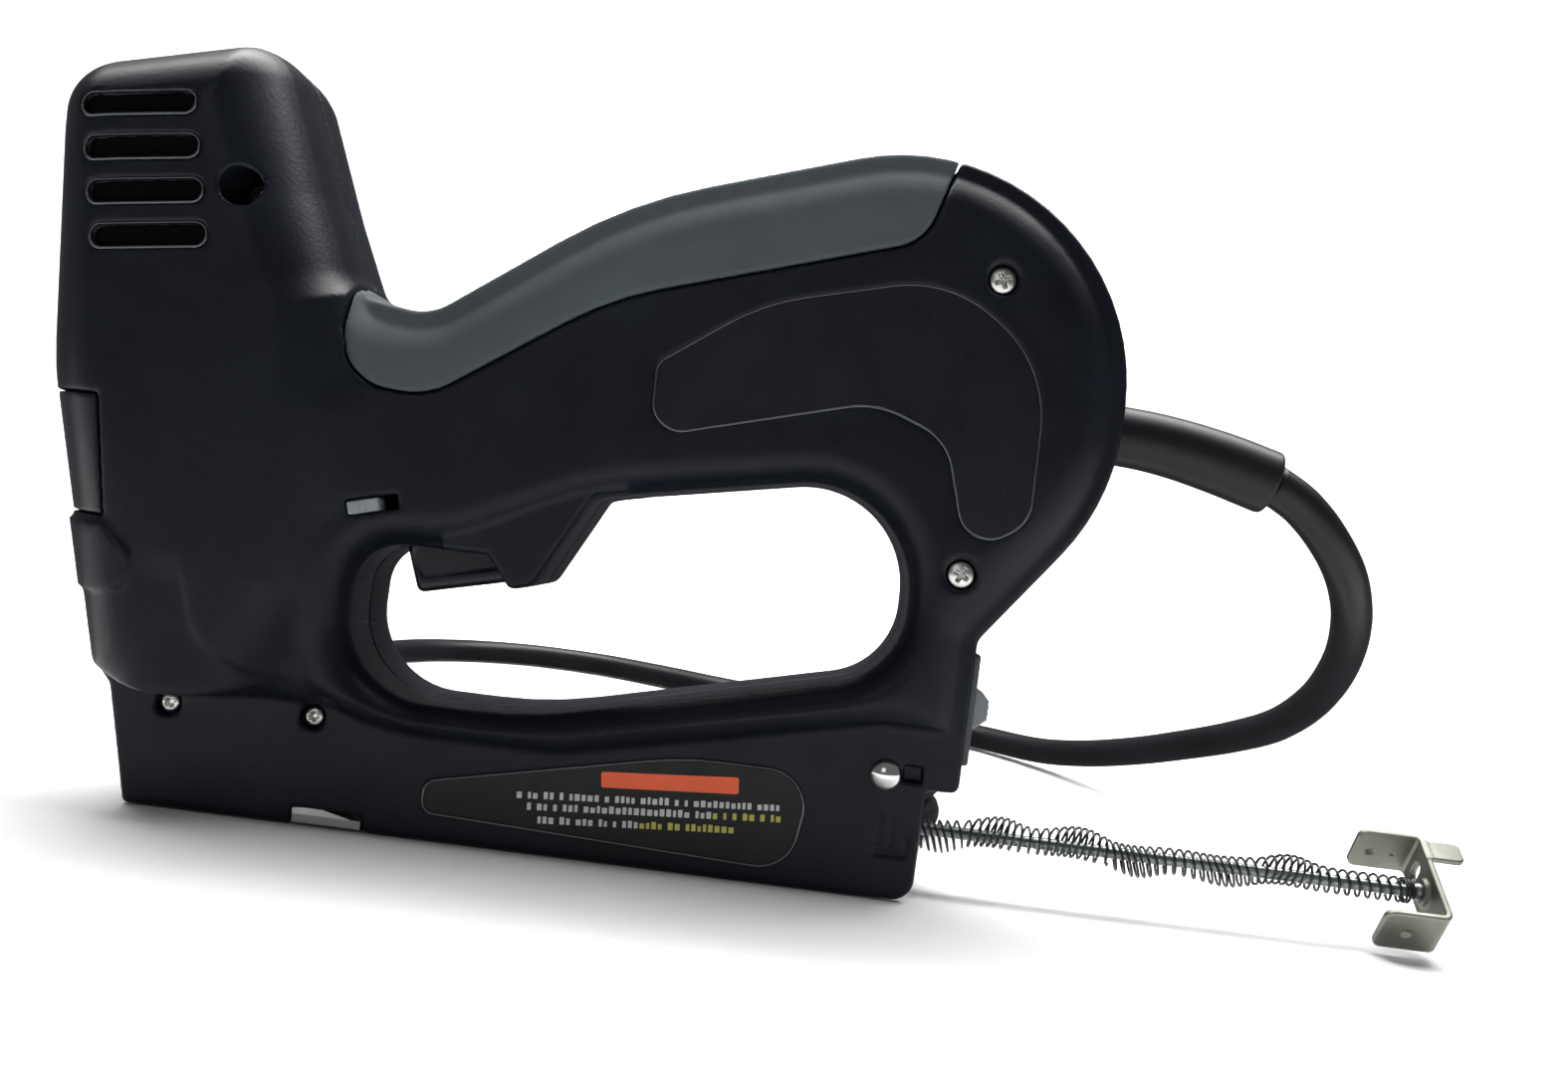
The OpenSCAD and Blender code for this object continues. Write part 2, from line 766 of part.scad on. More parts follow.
module plug_blades() {
    color("#c9b27a") translate(PLUG - [plug_neck_l + plug_body_l, 0, 0])
        for (y = [-1, 1] * blade_spacing / 2) box([-blade_l, y - 0.75, -3.2], [0, y + 0.75, 3.2]);
}

left_housing();
right_housing();
grip_cover();
name_plate();
side_labels();
housing_screws();
nose_screws();
front_guide();
magazine_channel();
staple_rail();
staple_strip();
pusher();
pusher_rod();
pusher_spring();
latch_bracket();
rod_rivet();
latch_pin();
solenoid_frame();
coil_bobbin();
coil_winding();
plunger();
driver_blade();
return_spring();
bumper();
trigger();
trigger_pin();
trigger_spring();
trigger_switch();
trigger_lock();
power_switch_body();
switch_bezel();
power_slider();
circuit_board();
board_parts();
lead_wires();
inner_cord();
cord_clamp();
clamp_screws();
strain_relief();
power_cord();
cord_coil();
cord_tail();
cord_tie();
plug();
plug_blades();
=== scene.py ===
"""Looks of the corded electric staple gun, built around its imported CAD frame.

Lengths are millimetres in the row frame until a piece is made: make() scales it to metres.
Moulded pieces are distance fields on a grid, whose zero surface becomes the mesh.
"""

import itertools
import math
from types import SimpleNamespace

import bpy
import numpy as np
from mathutils import Matrix, Vector


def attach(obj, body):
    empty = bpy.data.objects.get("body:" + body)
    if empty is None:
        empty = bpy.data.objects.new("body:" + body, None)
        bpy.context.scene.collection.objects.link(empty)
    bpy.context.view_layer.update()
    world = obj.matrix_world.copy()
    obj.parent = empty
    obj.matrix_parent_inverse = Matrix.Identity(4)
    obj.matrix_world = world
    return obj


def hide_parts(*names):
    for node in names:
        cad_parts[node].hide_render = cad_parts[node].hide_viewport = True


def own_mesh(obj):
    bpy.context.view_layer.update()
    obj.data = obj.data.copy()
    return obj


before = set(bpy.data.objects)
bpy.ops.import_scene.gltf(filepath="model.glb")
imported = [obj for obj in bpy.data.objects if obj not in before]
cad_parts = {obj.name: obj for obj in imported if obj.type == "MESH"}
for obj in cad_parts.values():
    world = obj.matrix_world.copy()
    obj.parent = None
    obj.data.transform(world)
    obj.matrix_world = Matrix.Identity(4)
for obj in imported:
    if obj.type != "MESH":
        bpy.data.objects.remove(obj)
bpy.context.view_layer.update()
MM = 0.001

# ---- camera, as in the photograph ----

CAMERA_AT = (3.0, -269.8, 62.9)
CAMERA_ROLL = math.radians(7.28)
IMAGE_WIDTH = 1575
FOCAL_PX = 1430
SENSOR = 36.0


def add_camera():
    data = bpy.data.cameras.new("camera")
    data.sensor_width = SENSOR
    data.lens = SENSOR * FOCAL_PX / IMAGE_WIDTH
    data.shift_x = -12.5 / IMAGE_WIDTH
    data.shift_y = -7.0 / IMAGE_WIDTH
    data.clip_start = 0.01
    camera = bpy.data.objects.new("camera", data)
    bpy.context.scene.collection.objects.link(camera)
    c, s = math.cos(CAMERA_ROLL), math.sin(CAMERA_ROLL)
    turn = Matrix(((c, -s, 0), (0, 0, -1), (s, c, 0))).to_4x4()
    camera.matrix_world = Matrix.Translation([v * MM for v in CAMERA_AT]) @ turn
    bpy.context.scene.camera = camera


# ---- outlines in the side view: corner lists, [x, z, corner radius] ----

BODY = [
    [-112, 0, 1], [-117, 21, 1], [-119.5, 24, 3], [-126.5, 51, 40], [-133, 76, 60],
    [-136.5, 118, 60], [-137, 130.5, 11], [-100.5, 139.5, 8], [-90, 113, 30],
    [-82.5, 96.5, 8], [-68, 94.5, 10], [-34.5, 119.5, 90], [59.2, 150, 41],
    [59.2, 76.5, 41], [38, 48.5, 3], [38, 20.5, 1.5], [32.2, 20.3, 0.8], [32, 0, 4],
]
LOOP = [
    [-75.8, 24.2, 16], [-41.5, 24.2, 80], [25, 40.5, 15], [24.2, 77.3, 19], [-34, 65.8, 2],
    [-43, 48.3, 2], [-47, 47.2, 1], [-51.5, 52.8, 1], [-75.8, 52.5, 9],
]
LOOP_RIM = [
    [-75.8, 24.2, 16], [-41.5, 24.2, 80], [25, 40.5, 15], [24.2, 77.3, 19], [-34, 65.8, 60],
    [-58, 53.6, 30], [-75.8, 52.5, 9],
]
UPPER = [
    [-150, 23, 0], [-90, 23, 10], [-62, 18.5, 20], [-35, 18.5, 30], [22, 31, 10], [50, 31, 0],
    [90, 60, 0], [90, 150, 0], [-150, 150, 0],
]
HEAD_REAR = [
    [-150, -20, 0], [-86, -20, 0], [-84, 24, 10], [-79, 42, 20], [-78, 75, 30], [-81, 100, 20],
    [-84, 150, 0], [-150, 150, 0],
]
SLOPE = [
    [-101, 60, 0], [-101, 44, 10], [-97.5, 33, 10], [-88, 27.2, 10], [-60, 26, 0], [-60, 60, 0],
]
GRIP = [
    [-81.3, 104, 1], [-81.3, 80.5, 9], [-65.5, 79.5, 14], [-35, 101, 60], [19, 118, 9],
    [25.7, 140, 1], [-40, 150, 1], [-70, 104, 1],
]
KIDNEY = [
    [-25.5, 90.5, 3], [-25, 77.5, 5], [14, 88.5, 16], [27.5, 83.5, 10], [33.2, 64, 5.5],
    [43.8, 70.5, 7], [43.6, 99, 22], [24, 112, 22], [-8, 103.5, 40],
]
LABEL = [[-58, 5.2, 2.4], [9, 3, 7], [11.5, 20.9, 7], [-12, 20.9, 60], [-58, 10.8, 2.4]]
PAD = [[-140, 50.8, 0], [-115.5, 50.7, 2], [-110, 46, 3], [-109.8, 38.8, 4], [-140, 36.6, 0]]
TRIGGER = [
    [-68.4, 60, 1], [-68.4, 51.5, 3], [-65.6, 43.8, 1.4], [-47.8, 48.2, 0.8], [-47.8, 60, 0.5],
]

HEAD_HALF_W = 26
HANDLE_HALF_W = 17
BASE_HALF_W = 13
WALL = 2.2
GRIP_T = 2
PIN = (24.4, 22.5)
HANDLE_SCREWS = [(33.8, 113.1), (33, 60)]
HEAD_SCREW = (-99.9, 111)
NOSE_SCREWS = [(-105.7, 19), (-79.5, 19.7)]
LOCK_AT = (-72.5, 59.1)
LOCK_TILT = math.radians(15.6)
VENT_TILT = math.radians(8)
VENT_DEPTH = 1.3
PLATE_DEPTH = 1.3
ROD_Z = 11.2
BRACKET_LEAN = math.radians(36)


def rounded(corners, step=math.radians(6)):
    """The outline of a corner list, with its corners rounded."""
    out = []
    for i, (x, z, r) in enumerate(corners):
        a, b, c = (np.array(p[:2], float) for p in (corners[i - 1], (x, z), corners[(i + 1) % len(corners)]))
        u, v = (a - b) / np.linalg.norm(a - b), (c - b) / np.linalg.norm(c - b)
        half = math.acos(np.clip(u @ v, -1, 1)) / 2
        if r <= 0 or half > math.radians(89):
            out.append(b)
            continue
        centre = b + (u + v) / np.linalg.norm(u + v) * r / math.sin(half)
        p, q = (b + w * r / math.tan(half) - centre for w in (u, v))
        start = math.atan2(p[1], p[0])
        turn = (math.atan2(q[1], q[0]) - start + math.pi) % (2 * math.pi) - math.pi
        n = max(2, math.ceil(abs(turn) / step))
        out += [centre + r * np.array([math.cos(start + turn * k / n), math.sin(start + turn * k / n)])
                for k in range(n + 1)]
    return np.array(out)


# ---- distance fields, in millimetres: negative inside ----


def grid(low, high, step, fine_y=None):
    """A grid of points. With fine_y, the spacing along Y is that fine next to Y = 0."""
    axes = [np.arange(lo, hi + step, step) for lo, hi in zip(low, high)]
    if fine_y:
        near = np.arange(-2 * fine_y, 6 * fine_y, fine_y)
        axes[1] = np.concatenate([near, np.arange(near[-1] + step * 0.8, high[1] + step, step)])
    x, y, z = np.meshgrid(*axes, indexing="ij", sparse=True)
    return SimpleNamespace(axes=axes, x=x, y=y, z=z)


def outline_distance(g, corners):
    """Signed distance to an outline in the side view."""
    x, z = g.x + 0 * g.z, g.z + 0 * g.x
    nearest, inside = np.full(x.shape, np.inf), np.zeros(x.shape, bool)
    points = rounded(corners)
    for a, b in zip(points, np.roll(points, -1, 0)):
        ex, ez = b - a
        if ex * ex + ez * ez < 1e-12:
            continue
        wx, wz = x - a[0], z - a[1]
        t = np.clip((wx * ex + wz * ez) / (ex * ex + ez * ez), 0, 1)
        nearest = np.minimum(nearest, (wx - ex * t) ** 2 + (wz - ez * t) ** 2)
        if ez:
            inside ^= ((a[1] > z) != (b[1] > z)) & (wx < ex / ez * wz)
    return np.where(inside, -1, 1) * np.sqrt(nearest)


def join(a, b, k=0.01):
    """Union, blended over about k."""
    h = np.clip(0.5 + 0.5 * (b - a) / k, 0, 1)
    return b * (1 - h) + a * h - k * h * (1 - h)


def both(a, b, k=0.01):
    return -join(-a, -b, k)


def cut(a, b, k=0.01):
    """a without b."""
    return -join(-a, b, k)


def extruded(d, over, r):
    """A side-view distance d given a thickness, where over is the distance past it; edges have radius r."""
    u, v = d + r, over + r
    return np.minimum(np.maximum(u, v), 0) + np.hypot(np.maximum(u, 0), np.maximum(v, 0)) - r


def block(g, low, high, r=0.0):
    q = [np.abs(p - (a + b) / 2) - (b - a) / 2 + r for p, a, b in zip((g.x, g.y, g.z), low, high)]
    inner = np.minimum(np.maximum(np.maximum(q[0], q[1]), q[2]), 0)
    return inner + np.sqrt(sum(np.maximum(v, 0) ** 2 for v in q)) - r


def turned(g, centre, angle):
    """The grid as seen from axes turned by angle in the side view about centre, (x, z)."""
    dx, dz = g.x - centre[0], g.z - centre[1]
    c, s = math.cos(angle), math.sin(angle)
    return SimpleNamespace(x=c * dx + s * dz, y=g.y + 0 * dx, z=c * dz - s * dx, axes=g.axes)


def smoothstep(t):
    t = np.clip(t, 0, 1)
    return t * t * (3 - 2 * t)


CORNERS = np.array(list(itertools.product((0, 1), repeat=3)))
CELL_EDGES = [(a, b) for a in range(8) for b in range(a + 1, 8) if np.abs(CORNERS[a] - CORNERS[b]).sum() == 1]


def surface(g, field):
    """Points and four-sided faces on the zero surface of a field on grid g."""
    shape = tuple(len(a) for a in g.axes)
    field = np.ascontiguousarray(np.broadcast_to(field, shape))
    low = field < 0
    shifted = (tuple(slice(c[i], shape[i] - 1 + c[i]) for i in range(3)) for c in CORNERS)
    mixed = sum(low[part].astype(np.int8) for part in shifted)
    cells = np.argwhere((mixed > 0) & (mixed < 8))
    values = np.stack([field[tuple((cells + c).T)] for c in CORNERS], 1)
    total, count = np.zeros((len(cells), 3)), np.zeros((len(cells), 1))
    for a, b in CELL_EDGES:
        crossing = (values[:, a] < 0) != (values[:, b] < 0)
        t = np.where(crossing, values[:, a] / np.where(crossing, values[:, a] - values[:, b], 1), 0)
        total += crossing[:, None] * (CORNERS[a] + t[:, None] * (CORNERS[b] - CORNERS[a]))
        count += crossing[:, None]
    at = total / count
    spacing = np.stack([np.diff(a)[cells[:, i]] for i, a in enumerate(g.axes)], 1)
    for _ in range(4):  # each point slides to the zero surface inside its own cell
        weights = np.where(CORNERS[None], at[:, None], 1 - at[:, None])
        value = (values * weights.prod(2)).sum(1)
        slope = np.stack([
            (values * np.where(CORNERS[:, i], 1, -1) * np.delete(weights, i, 2).prod(2)).sum(1)
            for i in range(3)
        ], 1) / spacing
        at = np.clip(at - (value / (slope**2).sum(1).clip(1e-9))[:, None] * slope / spacing, 0, 1)
    place = cells + at
    points = np.stack([np.interp(place[:, i], np.arange(shape[i]), g.axes[i]) for i in range(3)], 1)
    number = np.full([n - 1 for n in shape], -1)
    number[tuple(cells.T)] = np.arange(len(cells))
    faces = []
    for axis in range(3):
        i, j = (axis + 1) % 3, (axis + 2) % 3
        first, last = np.take(low, range(shape[axis] - 1), axis), np.take(low, range(1, shape[axis]), axis)
        at = np.argwhere(first != last)
        at = at[(at[:, i] > 0) & (at[:, j] > 0) & (at[:, i] < shape[i] - 1) & (at[:, j] < shape[j] - 1)]
        ei, ej = np.eye(3, dtype=int)[i], np.eye(3, dtype=int)[j]
        quad = np.stack([number[tuple(p.T)] for p in (at, at - ei, at - ei - ej, at - ej)], 1)
        outward = first[tuple(at.T)]
        faces += [quad[outward], quad[~outward][:, ::-1]]
    return points, np.concatenate(faces)


# ---- materials ----


def finish(name, colour, rough, metal=0.0, grain=0.6, bump=0.1, depth=0.03, mottle=0.25, rough_spread=0.08,
           sheen=0.5, second=None, streak=None):
    """A procedural finish: colour clouded by mottle, a fine grain of that size in mm, and uneven gloss.

    sheen scales what a plastic reflects head on, and second is the colour of the bright clouds.
    """
    m = bpy.data.materials.new(name)
    m.use_nodes = True
    t = m.node_tree
    shader = t.nodes["Principled BSDF"]
    shader.inputs["Metallic"].default_value = metal
    shader.inputs["Specular IOR Level"].default_value = sheen
    where = t.nodes.new("ShaderNodeTexCoord").outputs["Object"]
    if streak:
        stretch = t.nodes.new("ShaderNodeMapping")
        stretch.inputs["Scale"].default_value = streak
        t.links.new(where, stretch.inputs["Vector"])
        where = stretch.outputs["Vector"]

    def noise(size, detail):
        n = t.nodes.new("ShaderNodeTexNoise")
        n.inputs["Scale"].default_value = 1 / (size * MM)
        n.inputs["Detail"].default_value = detail
        t.links.new(where, n.inputs["Vector"])
        return n.outputs["Fac"]

    clouds, fine = noise(18, 4), noise(grain, 2)
    ramp = t.nodes.new("ShaderNodeValToRGB")
    dark = [c * (1 - mottle) for c in colour]
    bright = list(second) if second else [c * (1 + mottle) for c in colour]
    ramp.color_ramp.elements[0].position, ramp.color_ramp.elements[1].position = 0.3, 0.7
    ramp.color_ramp.elements[0].color, ramp.color_ramp.elements[1].color = (*dark, 1), (*bright, 1)
    t.links.new(clouds, ramp.inputs["Fac"])
    t.links.new(ramp.outputs["Color"], shader.inputs["Base Color"])
    gloss = t.nodes.new("ShaderNodeMapRange")
    gloss.inputs["To Min"].default_value = rough - rough_spread
    gloss.inputs["To Max"].default_value = rough + rough_spread
    t.links.new(noise(6, 5), gloss.inputs["Value"])
    t.links.new(gloss.outputs["Result"], shader.inputs["Roughness"])
    relief = t.nodes.new("ShaderNodeBump")
    relief.inputs["Strength"].default_value = bump
    relief.inputs["Distance"].default_value = depth * MM
    t.links.new(fine, relief.inputs["Height"])
    t.links.new(relief.outputs["Normal"], shader.inputs["Normal"])
    return m


PLASTIC = finish("black_moulding", (0.005, 0.0065, 0.0105), 0.36, grain=0.8, bump=0.8, depth=0.05, sheen=0.16)
SMOOTH_PLASTIC = finish("smooth_moulding", (0.005, 0.006, 0.009), 0.3, grain=1.2, bump=0.12, depth=0.02, sheen=0.3)
DARK_PLASTIC = finish("dark_moulding", (0.02, 0.022, 0.026), 0.42, grain=0.5, bump=0.25)
RUBBER = finish("grip_rubber", (0.058, 0.071, 0.077), 0.72, grain=0.35, bump=0.5, depth=0.04, mottle=0.12,
                sheen=0.3)
CORD = finish("cord_rubber", (0.0055, 0.006, 0.0075), 0.4, grain=0.8, bump=0.15, depth=0.02,
              sheen=0.25)
LABEL_BLACK = finish("label_print", (0.005, 0.0055, 0.0075), 0.4, grain=2.5, bump=0.02, sheen=0.25)
ORANGE = finish("label_orange", (0.88, 0.105, 0.012), 0.38, grain=1, bump=0.05, mottle=0.06)
PALE = finish("label_pale", (0.55, 0.55, 0.54), 0.45, grain=1, bump=0.05, mottle=0.1)
YELLOW = finish("label_yellow", (0.5, 0.45, 0.07), 0.45, grain=1, bump=0.05, mottle=0.1)
NICKEL = finish("screw_nickel", (0.6, 0.59, 0.56), 0.3, 1, grain=0.3, bump=0.2, mottle=0.2)
CHROME = finish("pin_chrome", (0.74, 0.73, 0.71), 0.13, 1, grain=0.5, bump=0.06, rough_spread=0.04)
ZINC = finish("sheet_zinc", (0.36, 0.37, 0.36), 0.38, 1, grain=0.4, bump=0.2, streak=(0.2, 1, 1))
BRACKET = finish("bracket_zinc", (0.2, 0.205, 0.175), 0.5, 1, grain=0.5, bump=0.25, second=(0.29, 0.285, 0.245))
STAPLE = finish("staple_wire", (0.5, 0.51, 0.52), 0.3, 1, grain=0.3, bump=0.3, streak=(6, 1, 1))
WIRE = finish("spring_wire", (0.05, 0.052, 0.056), 0.35, 0.9, grain=0.4, bump=0.15)
ROD = finish("rod_steel", (0.22, 0.235, 0.235), 0.34, 1, grain=0.4, bump=0.15, streak=(0.2, 1, 1))
IRON = finish("laminated_iron", (0.13, 0.135, 0.14), 0.5, 0.9, grain=0.5, bump=0.5, streak=(1, 6, 1))
COPPER = finish("copper_winding", (0.42, 0.16, 0.06), 0.35, 1, grain=0.7, bump=0.8, streak=(0.1, 0.1, 1))
BOBBIN = finish("bobbin_plastic", (0.6, 0.55, 0.42), 0.5)
BUFFER = finish("buffer_rubber", (0.02, 0.02, 0.021), 0.8, bump=0.4)
# painted shade: a near-black matte finish for the insets that darken the vent slots, where the slots are only in
# shadow
PAINTED_SHADE = finish("painted_vent_shade", (0.0015, 0.0016, 0.002), 0.9, bump=0.2, sheen=0.05)
LOCK = finish("lock_plastic", (0.2, 0.225, 0.23), 0.42, grain=0.5, bump=0.2, mottle=0.12)
# painted highlight: a lighter, glossier copy of the black moulding, for the glints along the edges of the recesses
# and vents
EDGE_HIGHLIGHT = finish("painted_edge_highlight", (0.03, 0.034, 0.038), 0.22, grain=1, bump=0.1, sheen=0.9)
BEZEL = finish("bezel_plastic", (0.045, 0.053, 0.058), 0.4, grain=0.5, bump=0.25)
BOARD = finish("board_mask", (0.02, 0.13, 0.045), 0.3, grain=1.5, bump=0.3, second=(0.03, 0.2, 0.07))
CASES = finish("component_cases", (0.03, 0.03, 0.05), 0.4)
INSULATION = finish("wire_insulation", (0.3, 0.02, 0.015), 0.35)
TIE = finish("hook_and_loop", (0.014, 0.014, 0.016), 0.95, grain=0.35, bump=1, depth=0.15)
BRASS = finish("blade_brass", (0.62, 0.47, 0.2), 0.28, 1, grain=0.5, bump=0.15, streak=(0.2, 1, 1))


# ---- pieces ----


def make(name, points, faces, material, body="housing", replaces=(), slot=None, keep=1.0, smooth=True):
    """A mesh piece from points in mm, thinned to that share of its faces."""
    mesh = bpy.data.meshes.new(name)
    mesh.from_pydata((np.asarray(points) * MM).tolist(), [], [list(face) for face in faces])
    mesh.materials.append(material)
    piece = bpy.data.objects.new(name, mesh)
    bpy.context.scene.collection.objects.link(piece)
    if keep < 1:
        thin = piece.modifiers.new("thin", "DECIMATE")
        thin.ratio = keep
        graph = bpy.context.evaluated_depsgraph_get()
        piece.data = bpy.data.meshes.new_from_object(piece.evaluated_get(graph))
        piece.modifiers.clear()
    if smooth:
        piece.data.shade_smooth()
    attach(piece, body)
    if replaces:
        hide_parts(*replaces)
    return piece


def merged(shapes):
    """One list of points and one of faces from several (points, faces) shapes."""
    points, faces, start = [], [], 0
    for shape_points, shape_faces in shapes:
        points.append(np.asarray(shape_points, float))
        faces += [[start + int(i) for i in face] for face in shape_faces]
        start += len(shape_points)
    return np.vstack(points), faces


def mould(name, g, field, material, flip=False, **how):
    """A piece from a field; flip mirrors it to the other side of Y = 0."""
    points, faces = surface(g, field)
    if flip:
        points, faces = mirrored(points, faces)
    return make(name, points, faces, material, **how)


def mirrored(points, faces):
    """The same shape on the other side of Y = 0."""
    return np.asarray(points) * (1, -1, 1), [list(face)[::-1] for face in faces]


def prism(corners, y0, y1):
    """A rounded side-view outline drawn from y0 to y1."""
    outline = rounded(corners)
    area = sum(a[0] * b[1] - a[1] * b[0] for a, b in zip(outline, np.roll(outline, -1, 0)))
    if area < 0:
        outline = outline[::-1]
    n = len(outline)
    points = [(x, y, z) for y in (y0, y1) for x, z in outline]
    sides = [[i, (i + 1) % n, n + (i + 1) % n, n + i] for i in range(n)]
    return points, [list(range(n)), list(range(n, 2 * n))[::-1], *[side[::-1] for side in sides]]


def frames(path):
    """Unit side and up vectors along a path, carried along without twist."""
    heading = np.gradient(path, axis=0)
    heading /= np.linalg.norm(heading, axis=1)[:, None]
    up = np.array([0, 0, 1.0]) if abs(heading[0][2]) < 0.9 else np.array([1.0, 0, 0])
    sides, ups = [], []
    for h in heading:
        up = up - h * (up @ h)
        up /= np.linalg.norm(up)
        sides.append(np.cross(h, up))
        ups.append(up)
    return np.array(sides), np.array(ups)


def tube(path, radii, n=16):
    """Points and faces of a capped tube along a path, with a radius at each point."""
    path = np.asarray(path, float)
    radii = np.broadcast_to(radii, len(path))
    sides, ups = frames(path)
    angle = np.arange(n) * 2 * math.pi / n
    rings = path[:, None] + radii[:, None, None] * (
        sides[:, None] * np.cos(angle)[None, :, None] + ups[:, None] * np.sin(angle)[None, :, None])
    i, k = np.meshgrid(np.arange(len(path) - 1), np.arange(n), indexing="ij")
    walls = np.stack([i * n + k, (i + 1) * n + k, (i + 1) * n + (k + 1) % n, i * n + (k + 1) % n], -1)
    faces = walls.reshape(-1, 4).tolist()
    faces += [list(range(n)), list(range((len(path) - 1) * n + n - 1, (len(path) - 1) * n - 1, -1))]
    return rings.reshape(-1, 3), faces


def smooth_route(route, n):
    """Catmull-Rom curves through the route's points, n steps for each."""
    p = np.asarray(route, float)
    a, b, c, d = np.vstack([p[:1], p[:-2]]), p[:-1], p[1:], np.vstack([p[2:], p[-1:]])
    out = []
    for t in np.arange(n) / n:
        square, cube = (2 * a - 5 * b + 4 * c - d) * t**2, (3 * b - a - 3 * c + d) * t**3
        out.append(0.5 * (2 * b + (c - a) * t + square + cube))
    return np.vstack([np.stack(out, 1).reshape(-1, 3), p[-1:]])


def make_tube(name, path, radii, material, n=16, **how):
    return make(name, *tube(path, radii, n), material, **how)


# ---- the cord ----

CORD_R = 4.0
CORD_ROUTE = [
    [91, 0, 84.4], [97.5, 1, 81], [104, 3, 75.5], [110.5, 8, 68.5], [116, 17, 60.5],
    [120.5, 31, 51.5], [123, 49, 42], [122.5, 69, 33.5], [119, 90, 27], [113.5, 112, 21],
    [106.5, 135, 15], [98, 159, 9.5], [88, 183, 5.5], [74, 206, 4.3], [55, 224, 4.1], [32, 235, 4.02],
    [8, 244, 4], [-16, 257, 4], [-40, 274, 4], [-66, 288, 4], [-94, 290, 4], [-117, 277, 4],
    [-132, 254, 4], [-137, 226, 4], [-134, 197, 4], [-125, 170, 4], [-109, 143, 4],
    [-88, 124, 4], [-64, 113, 4], [-42, 109, 4], [-22, 108, 4],
]
TAIL_ROUTE = [[-26, 20.8, 11.5], [-36, 22.5, 10.2], [-47, 25, 8.2], [-58, 27, 6.5]]
PLUG = (-58, 27, 6.5)
NECK_L = 14
PLUG_L = 41
BLADE_L = 16
BLADE_Y = 6.35
COIL_CENTRE = (-4, 64)
COIL_TURNS = 3.5
OUTER_R, INNER_R = 44, 36
LOWER_Z, UPPER_Z = 4, 12
RELIEF_ROUTE = [
    [59.2, 0, 89.8], [66, 0, 89.4], [73, 0, 88.5], [81, 0, 86.9], [87, 0, 85.4], [90.9, 0, 84.4],
]


def coil_point(turned_by):
    """Where the cord is after turning that many degrees: nearly two turns below, then the rest on top."""
    inward = smoothstep((turned_by - 275) / 85) - smoothstep((turned_by - 915) / 85)
    r = OUTER_R + (INNER_R - OUTER_R) * inward
    z = LOWER_Z + (UPPER_Z - LOWER_Z) * smoothstep((turned_by - 584) / 72)
    angle = math.radians(90 - turned_by)
    return [COIL_CENTRE[0] + r * math.cos(angle), COIL_CENTRE[1] + r * math.sin(angle), z]


def build_cord():
    coil = [coil_point(a) for a in np.arange(0, COIL_TURNS * 360 + 1, 5)]
    arrival = smooth_route([*CORD_ROUTE, coil[0]], 6)[:-1]
    leaving = smooth_route([coil[-1], [-15, 20, 12], *TAIL_ROUTE], 6)[1:]
    path = np.vstack([arrival, coil, leaving])
    cord = make_tube("power_lead", path, CORD_R, CORD, n=20, slot="cord_rubber",
                     replaces=("power_cord", "cord_coil", "cord_tail"))
    return cord, path


def build_plug():
    x, y, z = PLUG
    g = grid((x - PLUG_L - 2, y - 14, -1), (x + 2, y + 14, 14), 0.5)
    along = x - g.x
    half_w = 12.3 - 1.6 * smoothstep((22 - along) / 8)
    body = block(SimpleNamespace(x=g.x, y=(g.y - y) * 12.3 / half_w + y, z=g.z),
                 (x - PLUG_L, y - 12.3, 0.1), (x - NECK_L, y + 12.3, 12.9), 4)
    for k in range(3):
        groove = np.hypot(np.abs(g.y - y) - half_w - 0.6 + 0 * g.z, g.x - (x - 21 - 4.5 * k)) - 1.5
        body = cut(body, groove, 0.8)
    from_axis = np.hypot(g.y - y, g.z - z)
    past_neck = np.abs(along - NECK_L / 2) - NECK_L / 2 - 0.4
    neck = both(from_axis - 4.7 - 1.3 * smoothstep(along / NECK_L), past_neck, 0.8)
    for k in range(3):
        neck = cut(neck, np.hypot(from_axis - 6.2, along - 4 - 3.4 * k) - 1.0, 0.3)
    plug = mould("mains_plug", g, join(body, neck, 1.5), CORD, replaces=("plug",), slot="cord_rubber")
    tip = x - PLUG_L - BLADE_L
    g = grid((tip - 1, y - 8, z - 4), (tip + BLADE_L + 1.5, y + 8, z + 4), 0.3)
    blades = np.minimum(*(block(g, (tip, y + s - 0.75, z - 3.2), (tip + BLADE_L + 0.5, y + s + 0.75, z + 3.2), 0.6)
                          for s in (-BLADE_Y, BLADE_Y)))
    blades = cut(blades, np.hypot(g.x - tip - 4, g.z - z) - 1.4, 0.1)
    pins = mould("plug_pins", g, blades, BRASS, replaces=("plug_blades",), slot="blade_brass")
    return plug, pins


def build_tie():
    """A strap round the turns of the coil."""
    x, y = COIL_CENTRE[0] - (OUTER_R + INNER_R) / 2, COIL_CENTRE[1]
    g = grid((x - 14, y - 9, -2), (x + 12, y + 9, 20), 0.4)
    bundle = block(g, (x - 8.1, y - 40, 0.1), (x + 8.1, y + 40, 16.1), 3.8)
    band = both(bundle - 1.1, -bundle, 0.1)
    end = block(g, (x - 10.6, y - 6, 3), (x - 8.6, y + 6, 15.2), 0.5)
    strap = both(join(band, end, 0.8), np.abs(g.y - y) - 6, 0.5)
    return mould("cord_strap", g, both(strap, -g.z, 0.1), TIE, replaces=("cord_tie",), slot="tie_fabric")


add_camera()
cord, cord_path = build_cord()
plug, plug_pins = build_plug()
strap = build_tie()
[v * MM for v in CORD_ROUTE[0]]


# ---- housing ----


